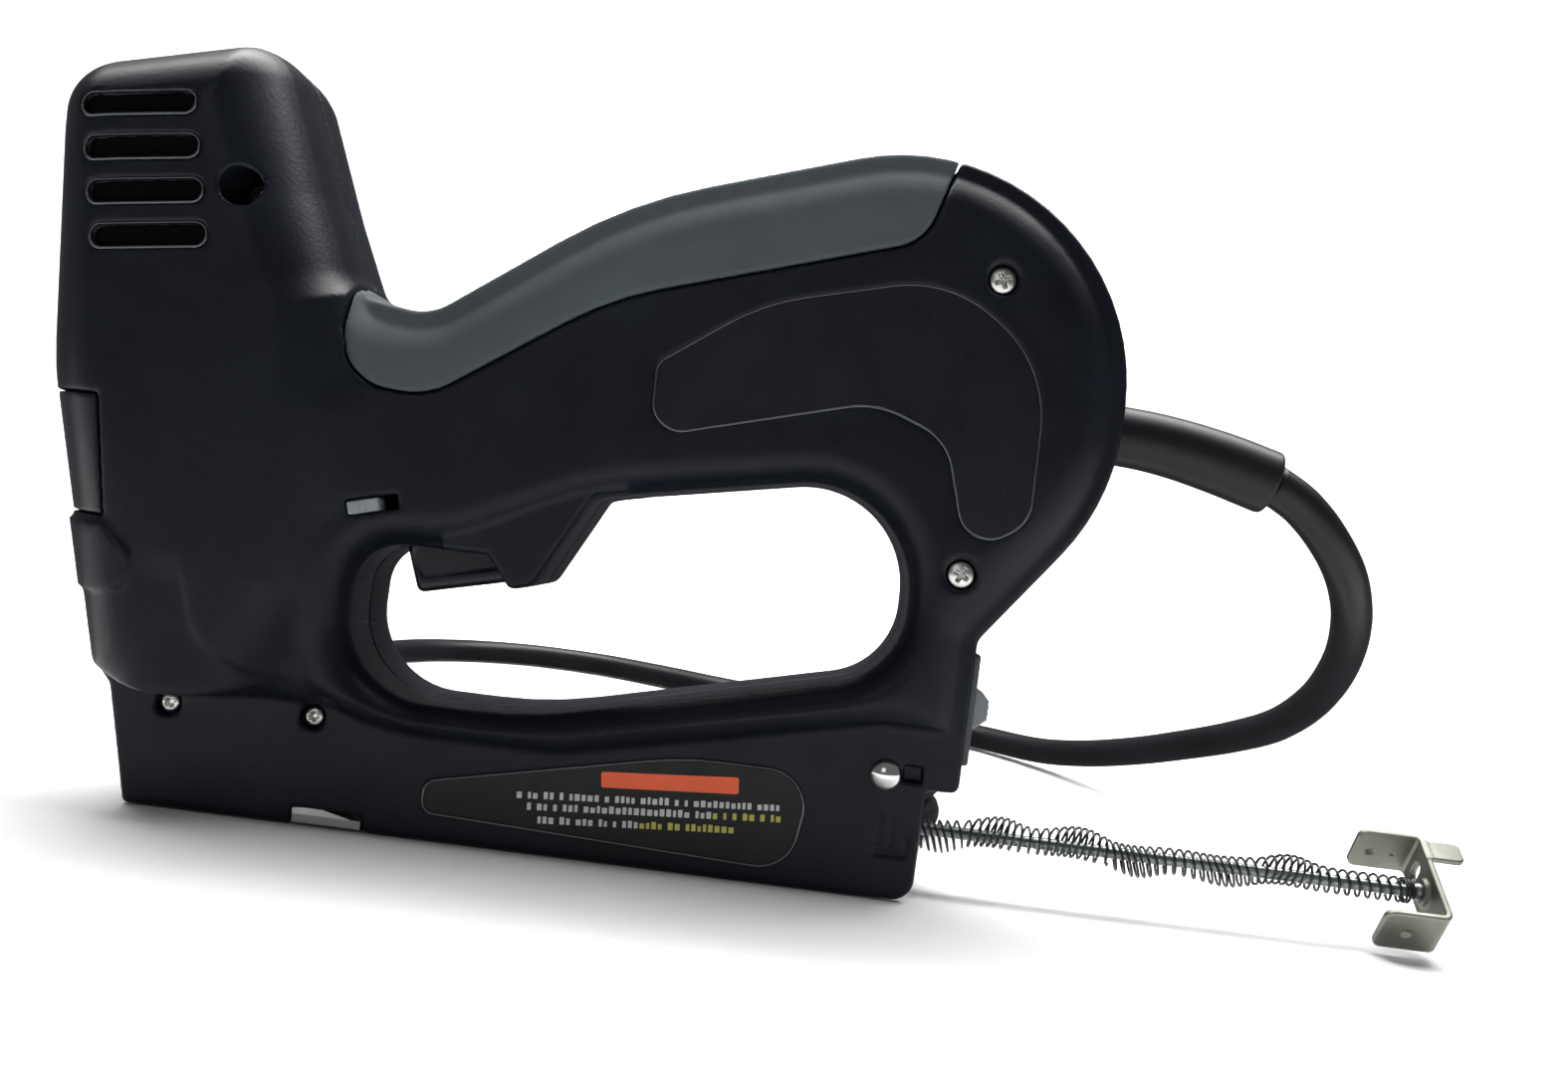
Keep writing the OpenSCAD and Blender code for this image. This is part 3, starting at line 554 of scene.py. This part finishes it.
def outer_form(g):
    """The tool's smooth outer form on the +Y side."""
    side, loop = outline_distance(g, BODY), outline_distance(g, LOOP)
    rim, upper = outline_distance(g, LOOP_RIM), outline_distance(g, UPPER)
    base = extruded(np.maximum(side, -loop), g.y - BASE_HALF_W, 1.2)
    roll = extruded(np.maximum(upper, -rim), g.y - HANDLE_HALF_W, 6)
    groove = 1.3 * np.exp(-((rim - 9.3) / 2.2) ** 2) * smoothstep((-66 - g.x) / 10) * smoothstep((62 - g.z) / 16)
    roll = roll + groove
    handle = both(extruded(side, g.y - HANDLE_HALF_W, 12), roll, 1)
    wedge = np.maximum(np.maximum(side, -loop), np.maximum(np.abs(g.x + 44) - 16, np.abs(g.z - 56) - 16))
    handle = join(handle, extruded(wedge, g.y - 15.2, 0.8), 0.6)
    head = extruded(np.maximum(side, outline_distance(g, HEAD_REAR)), g.y - HEAD_HALF_W, 16)
    slope = outline_distance(g, SLOPE)
    crease = smoothstep(slope / 0.8) * smoothstep((13 - slope) / 12)
    crease = crease * smoothstep((47 - g.z) / 6) * smoothstep((-78 - g.x) / 6)
    head = both(head, g.y - HEAD_HALF_W + 0.6, 1.2) + 0.45 * crease
    skirt = 22.1 + (g.x + 102.5) ** 2 / 85
    head = both(head, skirt - g.z, 1.2)
    head = both(head, -rim - 8.5 + 0.25 * np.maximum(g.z - 50, 0), 3)
    return join(join(handle, head, 5), base, 0.8)


def grip_field(g, form, grow):
    """The rubber cover on the top of the handle."""
    region = np.maximum(outline_distance(g, GRIP), np.abs(g.y) - HANDLE_HALF_W - 0.5)
    return both(both(form, -(form + GRIP_T), 0.3), region - grow, 0.5)


def vent_fields(g, form, depth=VENT_DEPTH):
    for i in range(4):
        t = turned(g, (-118.9 + 1.57 * i, 122.9 - 7.5 * i), VENT_TILT)
        slot = np.hypot(np.maximum(np.abs(t.x) - 8.4, 0), np.maximum(np.abs(t.z) - 0.4, 0)) - 1.7
        yield np.maximum(np.maximum(slot, 12 - g.y), -(form + depth))


def near_bores(g):
    """Counterbores and the lock's slot, which only the near half has."""
    for x, z in HANDLE_SCREWS:
        away = np.hypot(g.x - x, g.z - z)
        yield np.maximum(away - 2.75 - 0.7 * np.maximum(g.y - 16, 0), 14.4 - g.y)
    away = np.hypot(g.x - HEAD_SCREW[0], g.z - HEAD_SCREW[1])
    yield np.maximum(away - 3.4 - 0.3 * np.maximum(g.y - 25, 0), 12 - g.y)
    for x, z in NOSE_SCREWS:
        yield np.maximum(np.hypot(g.x - x, g.z - z) - 2.4, 11 - g.y)
    t = turned(g, LOCK_AT, LOCK_TILT)
    yield block(t, (-4.5, 12, -1.3), (4.5, 40, 1.3), 0.2)
    yield block(g, (27.4, 11.5, 21.7), (31, 20, 24.6), 0.2)
    yield block(g, (24.2, 12.4, 9.4), (24.9, 20, 14.9))
    yield block(g, (26.6, 12.4, 9.4), (27.2, 20, 14.9))
    yield block(g, (24.2, 12.4, 8), (29.6, 20, 8.7))
    yield block(g, (29.4, 12.4, 8), (30.1, 20, 11.6))


def plate_field(g):
    """The band round the front of the head that holds the name plate."""
    return np.maximum(g.x + 119.4 - 0.165 * (72.5 - g.z), np.abs(g.z - 62) - 10.5) + 0 * g.y


def half_housing(g, near):
    form = outer_form(g)
    kidney, label, pad = (outline_distance(g, c) for c in (KIDNEY, LABEL, PAD))
    skin = form - 0.75 * smoothstep(-pad / 0.5) * smoothstep((g.y - 2) / 3)
    skin = cut(skin, np.maximum(plate_field(g), -(form + PLATE_DEPTH)), 0.25)
    skin = cut(skin, np.maximum(kidney, HANDLE_HALF_W - 0.7 - g.y), 0.2)
    skin = cut(skin, np.maximum(label, BASE_HALF_W - 0.6 - g.y), 0.25)
    region = np.maximum(outline_distance(g, GRIP), np.abs(g.y) - HANDLE_HALF_W - 0.5)
    skin = cut(skin, both(region - 0.18, -(form + GRIP_T), 0.3), 0.6)
    hollow = join(np.maximum(form + WALL, WALL - region), form + WALL + GRIP_T)
    shell = cut(skin, hollow, 0.5)
    bosses = [(s, 4.2) for s in HANDLE_SCREWS] + [(HEAD_SCREW, 4.6), (PIN, 3.2)] + [(s, 3.8) for s in NOSE_SCREWS]
    for (x, z), r in bosses:
        shell = np.minimum(shell, np.maximum(np.hypot(g.x - x, g.z - z) - r, skin))
    room = extruded(outline_distance(g, [
        [-70.5, 44, 0], [-47.2, 44, 0], [-47.2, 52, 0], [-42.4, 52.4, 0], [-40.4, 56, 0], [-40.4, 64, 0],
        [-48, 70, 0], [-70.5, 70, 0],
    ]), g.y - 6, 0.2)
    gaps = [
        room,
        block(g, (-103.5, -9, -9), (40, 10.8, 18)),
        block(g, (-124, -9, -9), (-103, 7.8, 45)),
        block(g, (-81.4, 9, -9), (-68.2, 40, 3.2), 0.2),
        block(g, (33, -9, 28), (44, 4.2, 42)),
        np.maximum(np.hypot(g.y, g.z - 89.8) - 6.25, 50 - g.x),
        np.maximum(np.hypot(g.x - PIN[0], g.z - PIN[1]) - 2.05, -g.y),
        *vent_fields(g, form),
        *(near_bores(g) if near else ()),
    ]
    for gap in gaps:
        shell = cut(shell, gap, 0.35)
    return both(shell, 0.04 - g.y, 0.1)


SHELL_STEP = 0.6
shell_grid = grid((-139.5, 0, -1.5), (61.5, 27.5, 141.5), SHELL_STEP, fine_y=0.3)
mould("housing_near", shell_grid, half_housing(shell_grid, near=True), PLASTIC, flip=True, keep=0.38,
      replaces=("left_housing",), slot="black_plastic")
mould("housing_far", shell_grid, half_housing(shell_grid, near=False), PLASTIC, keep=0.38,
      replaces=("right_housing",), slot="black_plastic")

grip_grid = grid((-83, -18.5, 76), (29, 18.5, 137), 0.65)
folded = SimpleNamespace(axes=grip_grid.axes, x=grip_grid.x, y=np.abs(grip_grid.y), z=grip_grid.z)
mould("grip", grip_grid, grip_field(folded, outer_form(folded), -0.12), RUBBER, keep=0.6,
      replaces=("grip_cover",), slot="grip_rubber")


# ---- plates and labels ----

plate_grid = grid((-139.5, -27, 50.5), (-114, 27, 73.5), 0.5)
folded = SimpleNamespace(axes=plate_grid.axes, x=plate_grid.x, y=np.abs(plate_grid.y), z=plate_grid.z)
plate_form = outer_form(folded)
plate = both(both(plate_form + 0.14, -(plate_form + PLATE_DEPTH), 0.15), plate_field(folded) + 0.3, 0.3)
mould("front_name_plate", plate_grid, plate, SMOOTH_PLASTIC, replaces=("name_plate",), slot="plate_plastic")

LABEL_TOP = BASE_HALF_W - 0.15
EDGE_R = 0.26


def form_y(x, z):
    """How far from the middle plane the outer form is at those places in the side view."""
    low, high = np.zeros(len(x)), np.full(len(x), 30.0)
    for _ in range(12):
        y = (low + high) / 2
        inside = outer_form(SimpleNamespace(x=x, y=y, z=z)) < 0
        low, high = np.where(inside, y, low), np.where(inside, high, y)
    return low


def edge_line(corners, upper):
    """A fine bead along an outline on the near side, which carries a painted highlight on the recess edge; upper is
    its radius where the outline faces up, and it is thicker where the outline faces down.
    """
    outline = rounded(corners)
    along = np.roll(outline, -1, 0) - np.roll(outline, 1, 0)
    following = np.roll(outline, -1, 0)
    turning = np.sign(np.sum(outline[:, 0] * following[:, 1] - outline[:, 1] * following[:, 0]))
    facing_up = -turning * along[:, 0] / np.hypot(*along.T)
    radii = upper + (EDGE_R - upper) * smoothstep(0.7 - facing_up)
    x, z = outline.T
    x, z, radii = (np.append(v, v[:2]) for v in (x, z, radii))
    return tube(np.stack([x, -form_y(x, z) + 0.1, z], 1), radii, 8)


def vent_outline(i):
    x, z = -118.9 + 1.57 * i, 122.9 - 7.5 * i
    c, s = math.cos(VENT_TILT), math.sin(VENT_TILT)
    low_side = [(u, -2.1) for u in (-10.1, -4, 4, 10.1)]
    high_side = [(-u, 2.1) for u in (-10.1, -4, 4, 10.1)]
    return [[x + c * u - s * v, z + s * u + c * v, 2] for u, v in low_side + high_side]


# Beads along the kidney, label and vent outlines: the edges are real, but their lighter colour and strong sheen are
# a painted highlight, broadest along the lower edges.
lines = [edge_line(KIDNEY, 0.12), edge_line(LABEL, 0.22), *(edge_line(vent_outline(i), 0.1) for i in range(4))]
make("recess_edge_highlights", *merged(lines), EDGE_HIGHLIGHT, slot="black_plastic")

kidney_floor = prism(KIDNEY, -HANDLE_HALF_W + 0.5, -HANDLE_HALF_W + 0.8)
make("handle_recess", *merged([kidney_floor, mirrored(*kidney_floor)]), SMOOTH_PLASTIC, smooth=False,
     slot="black_plastic")

# Near-black insets at the bottom of the vent slots: painted shade, a dark sheet set where the slots are only in
# shadow.
vent_grid = grid((-132, 11, 93), (-103, 27.5, 130), 0.45)
vent_form = outer_form(vent_grid)
vent_shadow_field = np.minimum.reduce([np.broadcast_to(v, vent_form.shape) for v in vent_fields(vent_grid, vent_form, 2.2)])
vent_shadow_field = both(vent_shadow_field, vent_form + VENT_DEPTH - 0.15, 0.1)
vent_shadow_insets = surface(vent_grid, vent_shadow_field)
make("vent_shadow_insets", *merged([vent_shadow_insets, mirrored(*vent_shadow_insets)]), PAINTED_SHADE, slot="black_plastic")


def shrunk(corners, by):
    """A corner list moved inwards by that much, roughly, about its middle."""
    middle = np.mean([c[:2] for c in corners], 0)
    out = []
    for x, z, r in corners:
        away = np.array([x, z]) - middle
        out.append([*(np.array([x, z]) - np.sign(away) * by), max(r - by, 0.1)])
    return out


sticker = prism(shrunk(LABEL, 0.3), LABEL_TOP - 0.3, LABEL_TOP)
make("side_stickers", *merged([sticker, mirrored(*sticker)]), LABEL_BLACK, smooth=False,
     replaces=("side_labels",), slot="label")

BAR = [[-26.6, 16.5, 0.4], [-1.8, 18.6, 0.4], [-1.5, 15.6, 0.4], [-26.2, 13.7, 0.4]]
make("sticker_bar", *mirrored(*prism(BAR, LABEL_TOP - 0.05, LABEL_TOP + 0.05)), ORANGE, smooth=False, slot="label")


def build_marks():
    """Rows of small plain dashes under the bar, which stand for print and spell nothing."""
    rng = np.random.default_rng(4)
    rows = [
        ((-41.2, 10.5), (7.4, 14.2), None), ((-39.1, 8.6), (7.7, 12.2), -5.6), ((-36.9, 6.4), (-1.4, 9.1), -18.7),
    ]
    pale, yellow = [], []
    for start, end, yellow_from in rows:
        start, end = np.array(start), np.array(end)
        length = np.linalg.norm(end - start)
        along = (end - start) / length
        across = np.array([-along[1], along[0]])
        t = 0.0
        while t < length - 1:
            wide = rng.uniform(0.5, 0.95)
            tall = rng.uniform(0.95, 1.35)
            a = start + along * t - across * 0.6
            corners = [a, a + along * wide, a + along * wide + across * tall, a + across * tall]
            mark = prism([[*c, 0.12] for c in corners], LABEL_TOP - 0.05, LABEL_TOP + 0.04)
            (yellow if yellow_from is not None and a[0] > yellow_from else pale).append(mirrored(*mark))
            t += wide + (0.35 if rng.random() < 0.8 else 1.1)
    make("sticker_marks", *merged(pale), PALE, smooth=False, slot="label")
    make("sticker_notes", *merged(yellow), YELLOW, smooth=False, slot="label")


build_marks()


# ---- screws and pin, whose heads show on the near side ----


def screw(x, z, top, head_r, turn, end):
    """A cross-headed screw pointing into +Y, built with its head towards +Y and then mirrored."""
    room = head_r + 0.5
    g = grid((x - room, top - 2.4, z - room), (x + room, top + 0.4, z + room), 0.11)
    t = turned(g, (x, z), math.radians(turn))
    away = np.hypot(t.x, t.z)
    dome_r = 1.9 * head_r
    head = both(np.hypot(away, g.y - top + dome_r) - dome_r, away - head_r, 0.3)
    head = both(head, top - 1.6 - g.y, 0.2)
    depth = np.clip(top - g.y, 0, 2)
    arms = [np.maximum(np.abs(u) - 0.42 + 0.12 * depth, np.abs(v) - 0.62 * head_r + 0.45 * depth)
            for u, v in ((t.x, t.z), (t.z, t.x))]
    head = cut(head, np.maximum(np.minimum(*arms), top - 1.3 - g.y), 0.08)
    shank = tube([(x, y, z) for y in (top - 1.5, -end + 1.2, -end)], (1.45, 1.45, 0.5), 16)
    return mirrored(*merged([surface(g, head), shank]))


make("handle_screws", *merged([
    screw(*HANDLE_SCREWS[0], HANDLE_HALF_W - 0.9, 2.5, 25, 9),
    screw(*HANDLE_SCREWS[1], HANDLE_HALF_W - 0.9, 2.5, 62, 9),
    screw(*HEAD_SCREW, 13.6, 2.5, 10, 9),
]), NICKEL, replaces=("housing_screws",), slot="screw_nickel")
make("magazine_screws", *merged([
    screw(*NOSE_SCREWS[0], BASE_HALF_W - 0.5, 1.7, 40, 11),
    screw(*NOSE_SCREWS[1], BASE_HALF_W - 0.5, 1.7, 15, 11),
]), NICKEL, replaces=("nose_screws",), slot="screw_nickel")


def pin_head():
    x, z = PIN
    g = grid((x - 3.6, BASE_HALF_W - 0.6, z - 3.6), (x + 3.6, BASE_HALF_W + 2.6, z + 3.6), 0.14)
    away = np.hypot(g.x - x, g.z - z)
    dome = np.hypot(away, g.y - BASE_HALF_W + 1.4) - 3.35
    return surface(g, both(both(dome, away - 3.0, 0.3), BASE_HALF_W - 0.1 - g.y, 0.1))


head = pin_head()
shaft = tube([(PIN[0], y, PIN[1]) for y in (-BASE_HALF_W - 0.2, BASE_HALF_W + 0.2)], 2.0, 24)
make("latch_pin_polished", *merged([head, mirrored(*head), shaft]), CHROME, replaces=("latch_pin",),
     slot="pin_chrome")


# ---- trigger, lock and rear switch ----

PIVOT = (-45, 57)
g = grid((-69.5, -6.3, 42.5), (-40.8, 6.3, 61.3), 0.3)
lever = extruded(outline_distance(g, TRIGGER), np.abs(g.y) - 5.5, 1.3)
recess = outline_distance(g, [[-67.4, 50, 1], [-64.8, 46.6, 1], [-50, 50.4, 1], [-50, 56, 0.5], [-66, 56, 1]])
lever = cut(lever, np.maximum(recess, 5.2 - np.abs(g.y)), 0.4)
barrel = both(np.hypot(g.x - PIVOT[0], g.z - PIVOT[1]) - 3.4, np.abs(g.y) - 5.5, 0.4)
lever = cut(join(lever, barrel, 0.6), np.hypot(g.x - PIVOT[0], g.z - PIVOT[1]) - 1.55 + 0 * g.y, 0.1)
mould("finger_trigger", g, lever, SMOOTH_PLASTIC, body="trigger_lever", replaces=("trigger",),
      slot="trigger_plastic")

g = grid((-78.5, 12.6, 56.4), (-69.5, 18.6, 62), 0.16)
t = turned(g, LOCK_AT, LOCK_TILT)
tab = block(t, (-4.3, 13.4, -1.15), (1.4, 17.75, 1.15), 0.3)
for k in range(3):
    tab = cut(tab, np.hypot(t.x + 3 - 1.1 * k, t.y - 17.95) - 0.36 + 0 * t.z, 0.1)
mould("lock_button", g, tab, LOCK, flip=True, body="lock_tab", replaces=("trigger_lock",), slot="lock_plastic")

g = grid((37, -7.2, 24), (40.6, 7.2, 46.4), 0.22)
bezel = block(g, (37.8, -6.5, 24.8), (39.8, 6.5, 45.7), 0.6)
bezel = cut(bezel, block(g, (36, -3.3, 28.4), (42, 3.3, 41.8), 0.4), 0.35)
mould("switch_frame", g, bezel, BEZEL, replaces=("switch_bezel",), slot="dark_plastic")

KNOB = [
    [33.9, 31.6, 0.3], [40.4, 31.4, 1], [42.9, 33.4, 0.6], [42.9, 36.9, 0.8], [41.2, 38.7, 0.6],
    [33.9, 38.7, 0.3],
]
g = grid((33, -3.6, 30.6), (43.6, 3.6, 39.6), 0.2)
knob = extruded(outline_distance(g, KNOB), np.abs(g.y) - 3, 0.4)
for k in range(3):
    knob = cut(knob, np.hypot(g.x - 43.1, g.z - 34 - 1.2 * k) - 0.4 + 0 * g.y, 0.15)
mould("switch_slider", g, knob, LOCK, body="switch_knob", replaces=("power_slider",), slot="dark_plastic")


# ---- pulled-out pusher: rod, spring and latch bracket ----

BRACKET_X = 129.5
SHEET = 1.2
EAR_Y = 10.4
EAR_HALF_H = 4.8
EAR_FRONT = 118.2


def leant(points):
    """Points about the rod's axis, turned by the bracket's lean and lifted to the rod."""
    c, s = math.cos(BRACKET_LEAN), math.sin(BRACKET_LEAN)
    x, y, z = np.asarray(points).T
    return np.stack([x, y * c - z * s, y * s + z * c + ROD_Z], 1)


def build_bracket():
    g = grid((EAR_FRONT - 1, -EAR_Y - 1, -6), (138, EAR_Y + 1, 6), 0.24)
    outer = extruded(g.x - BRACKET_X - SHEET, np.abs(g.y) - EAR_Y, 1.9) + 0 * g.z
    inner = extruded(g.x - BRACKET_X, np.abs(g.y) - EAR_Y + SHEET, 0.7) + 0 * g.z
    wide = extruded(EAR_FRONT - g.x, np.abs(g.z) - EAR_HALF_H, 1.8) + 0 * g.y
    sheet = both(both(outer, -inner, 0.12), wide, 0.25)
    plan = extruded(np.abs(g.y - 6.7) - 2.3, g.x - 137, 1.1) + 0 * g.z
    tab = both(np.maximum(plan, 129.6 - g.x), np.abs(g.z - EAR_HALF_H + SHEET / 2) - SHEET / 2, 0.2)
    sheet = join(sheet, tab, 0.5)
    boss = both(np.hypot(g.y, g.z) - 2.9 + 0.5 * (BRACKET_X - g.x), np.abs(g.x - BRACKET_X + 0.3) - 0.6, 0.3)
    sheet = join(sheet, boss, 0.5)
    sheet = cut(sheet, np.hypot(g.y, g.z) - 1.2 + 0 * g.x, 0.1)
    slot = np.hypot(g.y - 5.6, np.maximum(np.abs(g.z + 0.6) - 0.9, 0)) - 1.25 + 0 * g.x
    sheet = cut(sheet, np.maximum(slot, np.abs(g.x - 130) - 2), 0.15)
    for x, y, r in ((123.5, -EAR_Y, 1.0), (121.6, EAR_Y - SHEET, 1.0), (126, EAR_Y - SHEET, 0.6)):
        sheet = cut(sheet, np.sqrt((g.x - x) ** 2 + (g.y - y + 0.3) ** 2 + (g.z + 0.3) ** 2) - r, 0.15)
    points, faces = surface(g, sheet)
    make("hooked_bracket", leant(points), faces, BRACKET, body="bracket", replaces=("latch_bracket",),
         slot="bracket_steel")


build_bracket()

PUSHER_REAR = 26.3
ROD_R = 1.15
profile = [
    (12.1, 1.9), (12.3, 2.2), (13.9, 2.2), (14.1, ROD_R), (127.3, ROD_R), (127.5, 1.7), (129.2, 1.75), (129.4, 1.5),
]
make_tube("drawn_rod", [(x, 0, ROD_Z) for x, _ in profile], [r for _, r in profile], ROD, 20, body="rod",
          replaces=("pusher_rod",), slot="bracket_steel")

BULGES = [(36, 1.0, 5), (47.5, -1.0, 5), (62.6, -1.0, 5.5), (74, 1.0, 5), (91, 0.8, 6), (103, -0.9, 5)]
SPRING_R = 2.25
SPRING_WIRE = 0.26


def build_pusher_spring():
    """A long spring on the rod, buckled into waves where it has no room to bend."""
    ends = (PUSHER_REAR + 0.5, BRACKET_X - 2.8)
    x = np.linspace(*ends, 2600)
    waves = np.array([np.exp(-((x - at) / width) ** 2) * side for at, side, width in BULGES])
    crowd, sag = np.abs(waves).max(0), -waves.sum(0)
    pitch = 1.95 - 0.75 * crowd
    pitch = np.where((x > ends[1] - 1.6) | (x < ends[0] + 1.6), 0.62, pitch)
    phase = np.cumsum(2 * math.pi / pitch) * (x[1] - x[0])
    r = SPRING_R + 0.6 * crowd
    lean = 0.9 * crowd * np.sign(sag)
    path = np.stack([
        x + lean * np.cos(phase),
        r * np.cos(phase + math.pi / 2) + 0.4 * np.sin(x / 7) * crowd,
        ROD_Z + r * np.sin(phase + math.pi / 2) + 1.05 * sag,
    ], 1)
    spring = make_tube("buckled_spring", path, SPRING_WIRE, WIRE, 6, body="rod", replaces=("pusher_spring",),
                       slot="spring_steel")
    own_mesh(spring)


build_pusher_spring()


def coil_spring(name, x, r, low, high, turns, wire, node):
    """An upright spring that shortens towards its fixed end."""
    share = np.linspace(0, 1, turns * 24)
    rise = low + (high - low) * (0.94 * share + 0.06 * smoothstep(share))
    angle = 2 * math.pi * turns * share
    path = np.stack([x + r * np.cos(angle), r * np.sin(angle), rise], 1)
    spring = make_tube(name, path, wire, WIRE, 8, replaces=(node,), slot="spring_steel")
    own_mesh(spring)


coil_spring("driver_spring", -109.5, 6.2, 61.45, 82.05, 6, 0.4, "return_spring")
coil_spring("trigger_return_spring", -54, 2.1, 60.3, 69.7, 6, 0.3, "trigger_spring")


# ---- strain relief ----


def build_relief():
    route = smooth_route(RELIEF_ROUTE, 4)
    g = grid((53.5, -7.6, 76), (95.5, 7.6, 98), 0.36)
    best = np.full(np.broadcast_shapes(g.x.shape, g.y.shape, g.z.shape), np.inf)
    out = route[-1] - route[-2]
    out /= np.linalg.norm(out)
    path = np.vstack([[40, 0, 89.8], route, route[-1] + 8 * out])
    for a, b in zip(path[:-1], path[1:]):
        u = b - a
        t = np.clip(((g.x - a[0]) * u[0] + (g.z - a[2]) * u[2]) / (u @ u), 0, 1) + 0 * g.y
        away = np.sqrt((g.x - a[0] - t * u[0]) ** 2 + g.y**2 + (g.z - a[2] - t * u[2]) ** 2)
        best = np.minimum(best, away)
    past = (g.x - route[-1][0]) * out[0] + (g.z - route[-1][2]) * out[2]
    sleeve = both(best - 5.7 - 0.45 * smoothstep((g.x - 62) / 28), past + 0 * g.y, 0.9)
    flange = both(np.hypot(g.y, g.z - 89.8) - 7.5, np.abs(g.x - 55) - 1, 0.3)
    sleeve = join(sleeve, flange, 0.5)
    sleeve = cut(sleeve, np.maximum(best - 4.2, -past - 2.5), 0.3)
    sleeve = cut(sleeve, np.maximum(best - 4.1, g.x - 56), 0.3)
    mould("cord_sleeve", g, both(sleeve, 54 - g.x, 0.2), CORD, replaces=("strain_relief",), slot="cord_rubber")


build_relief()

CATCH = [[-81.2, 3, 0.3], [-76.9, 3.5, 0.3], [-70.7, 2.1, 0.3], [-69.8, 0.5, 0.2], [-80.9, 0.5, 0.2]]
make("rail_catches", *merged([prism(CATCH, 11.9, 12.7), mirrored(*prism(CATCH, 11.9, 12.7))]), NICKEL, smooth=False,
     slot="sheet_steel")


# ---- light and floor ----


def add_light(name, at, towards, size, power, colour=(1, 1, 1)):
    data = bpy.data.lights.new(name, "AREA")
    data.shape = "RECTANGLE"
    data.size, data.size_y = size
    data.energy = power
    data.color = colour
    light = bpy.data.objects.new(name, data)
    bpy.context.scene.collection.objects.link(light)
    light.location = at
    direction = np.array(towards, float) - np.array(at, float)
    light.rotation_euler = Vector(direction).to_track_quat("-Z", "Y").to_euler()


def add_stage():
    """A pale floor that curves up into a backdrop, whose rear part doesn't show in glossy surfaces."""
    curve = np.linspace(0.1, math.pi / 2, 12)
    rear_y = [0.03, 0.9, *(0.9 + 0.6 * np.sin(curve)), 1.5]
    rear_z = [0, 0, *(0.6 - 0.6 * np.cos(curve)), 2.4]
    paper = finish("pale_floor", (0.86, 0.86, 0.86), 0.8, grain=4, bump=0.02, mottle=0.01)
    for name, depth, rise in (("floor", [-1.6, 0.03], [0, 0]), ("backdrop", rear_y, rear_z)):
        points = [(x, y, z - 0.0002) for y, z in zip(depth, rise) for x in (-2.4, 2.4)]
        faces = [(2 * i, 2 * i + 1, 2 * i + 3, 2 * i + 2) for i in range(len(depth) - 1)]
        mesh = bpy.data.meshes.new(name)
        mesh.from_pydata(points, [], faces)
        mesh.shade_smooth()
        mesh.materials.append(paper)
        sheet = bpy.data.objects.new(name, mesh)
        bpy.context.scene.collection.objects.link(sheet)
        sheet.visible_glossy = name == "floor"


add_stage()
add_light("softbox_top", (0.05, 0.32, 1.15), (0, 0.05, 0), (1.5, 0.9), 26)
add_light("backdrop_wash", (0, 0.55, 1.3), (0, 1.5, 0.2), (2.4, 0.8), 48)
add_light("front_fill", (-0.5, -1.6, 0.9), (0, 0, 0.06), (0.8, 0.8), 2)
world = bpy.data.worlds.new("studio")
world.use_nodes = True
world.node_tree.nodes["Background"].inputs["Color"].default_value = (0.9, 0.93, 1, 1)
world.node_tree.nodes["Background"].inputs["Strength"].default_value = 0.16
bpy.context.scene.world = world
bpy.context.scene.view_settings.view_transform = "Standard"

CAD_FINISHES = {
    "front_guide": ZINC, "magazine_channel": ZINC, "staple_rail": ZINC, "staple_strip": STAPLE,
    "solenoid_frame": IRON, "coil_bobbin": BOBBIN, "coil_winding": COPPER, "plunger": IRON,
    "driver_blade": ZINC, "bumper": BUFFER, "trigger_pin": ZINC, "trigger_switch": DARK_PLASTIC,
    "power_switch_body": DARK_PLASTIC, "circuit_board": BOARD, "board_parts": CASES,
    "lead_wires": INSULATION, "inner_cord": CORD, "cord_clamp": DARK_PLASTIC, "clamp_screws": ZINC,
    "pusher": DARK_PLASTIC, "rod_rivet": BRACKET,
}
SHARP_EDGED = [
    "front_guide", "magazine_channel", "staple_rail", "staple_strip", "solenoid_frame", "plunger",
    "driver_blade", "trigger_switch", "power_switch_body", "cord_clamp", "pusher", "rod_rivet", "bumper",
]
for node, material in CAD_FINISHES.items():
    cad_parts[node].data.materials.clear()
    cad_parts[node].data.materials.append(material)
for node in SHARP_EDGED:
    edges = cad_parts[node].modifiers.new("edges", "BEVEL")
    edges.width = 0.15 * MM
    edges.segments = 2
    edges.angle_limit = math.radians(40)
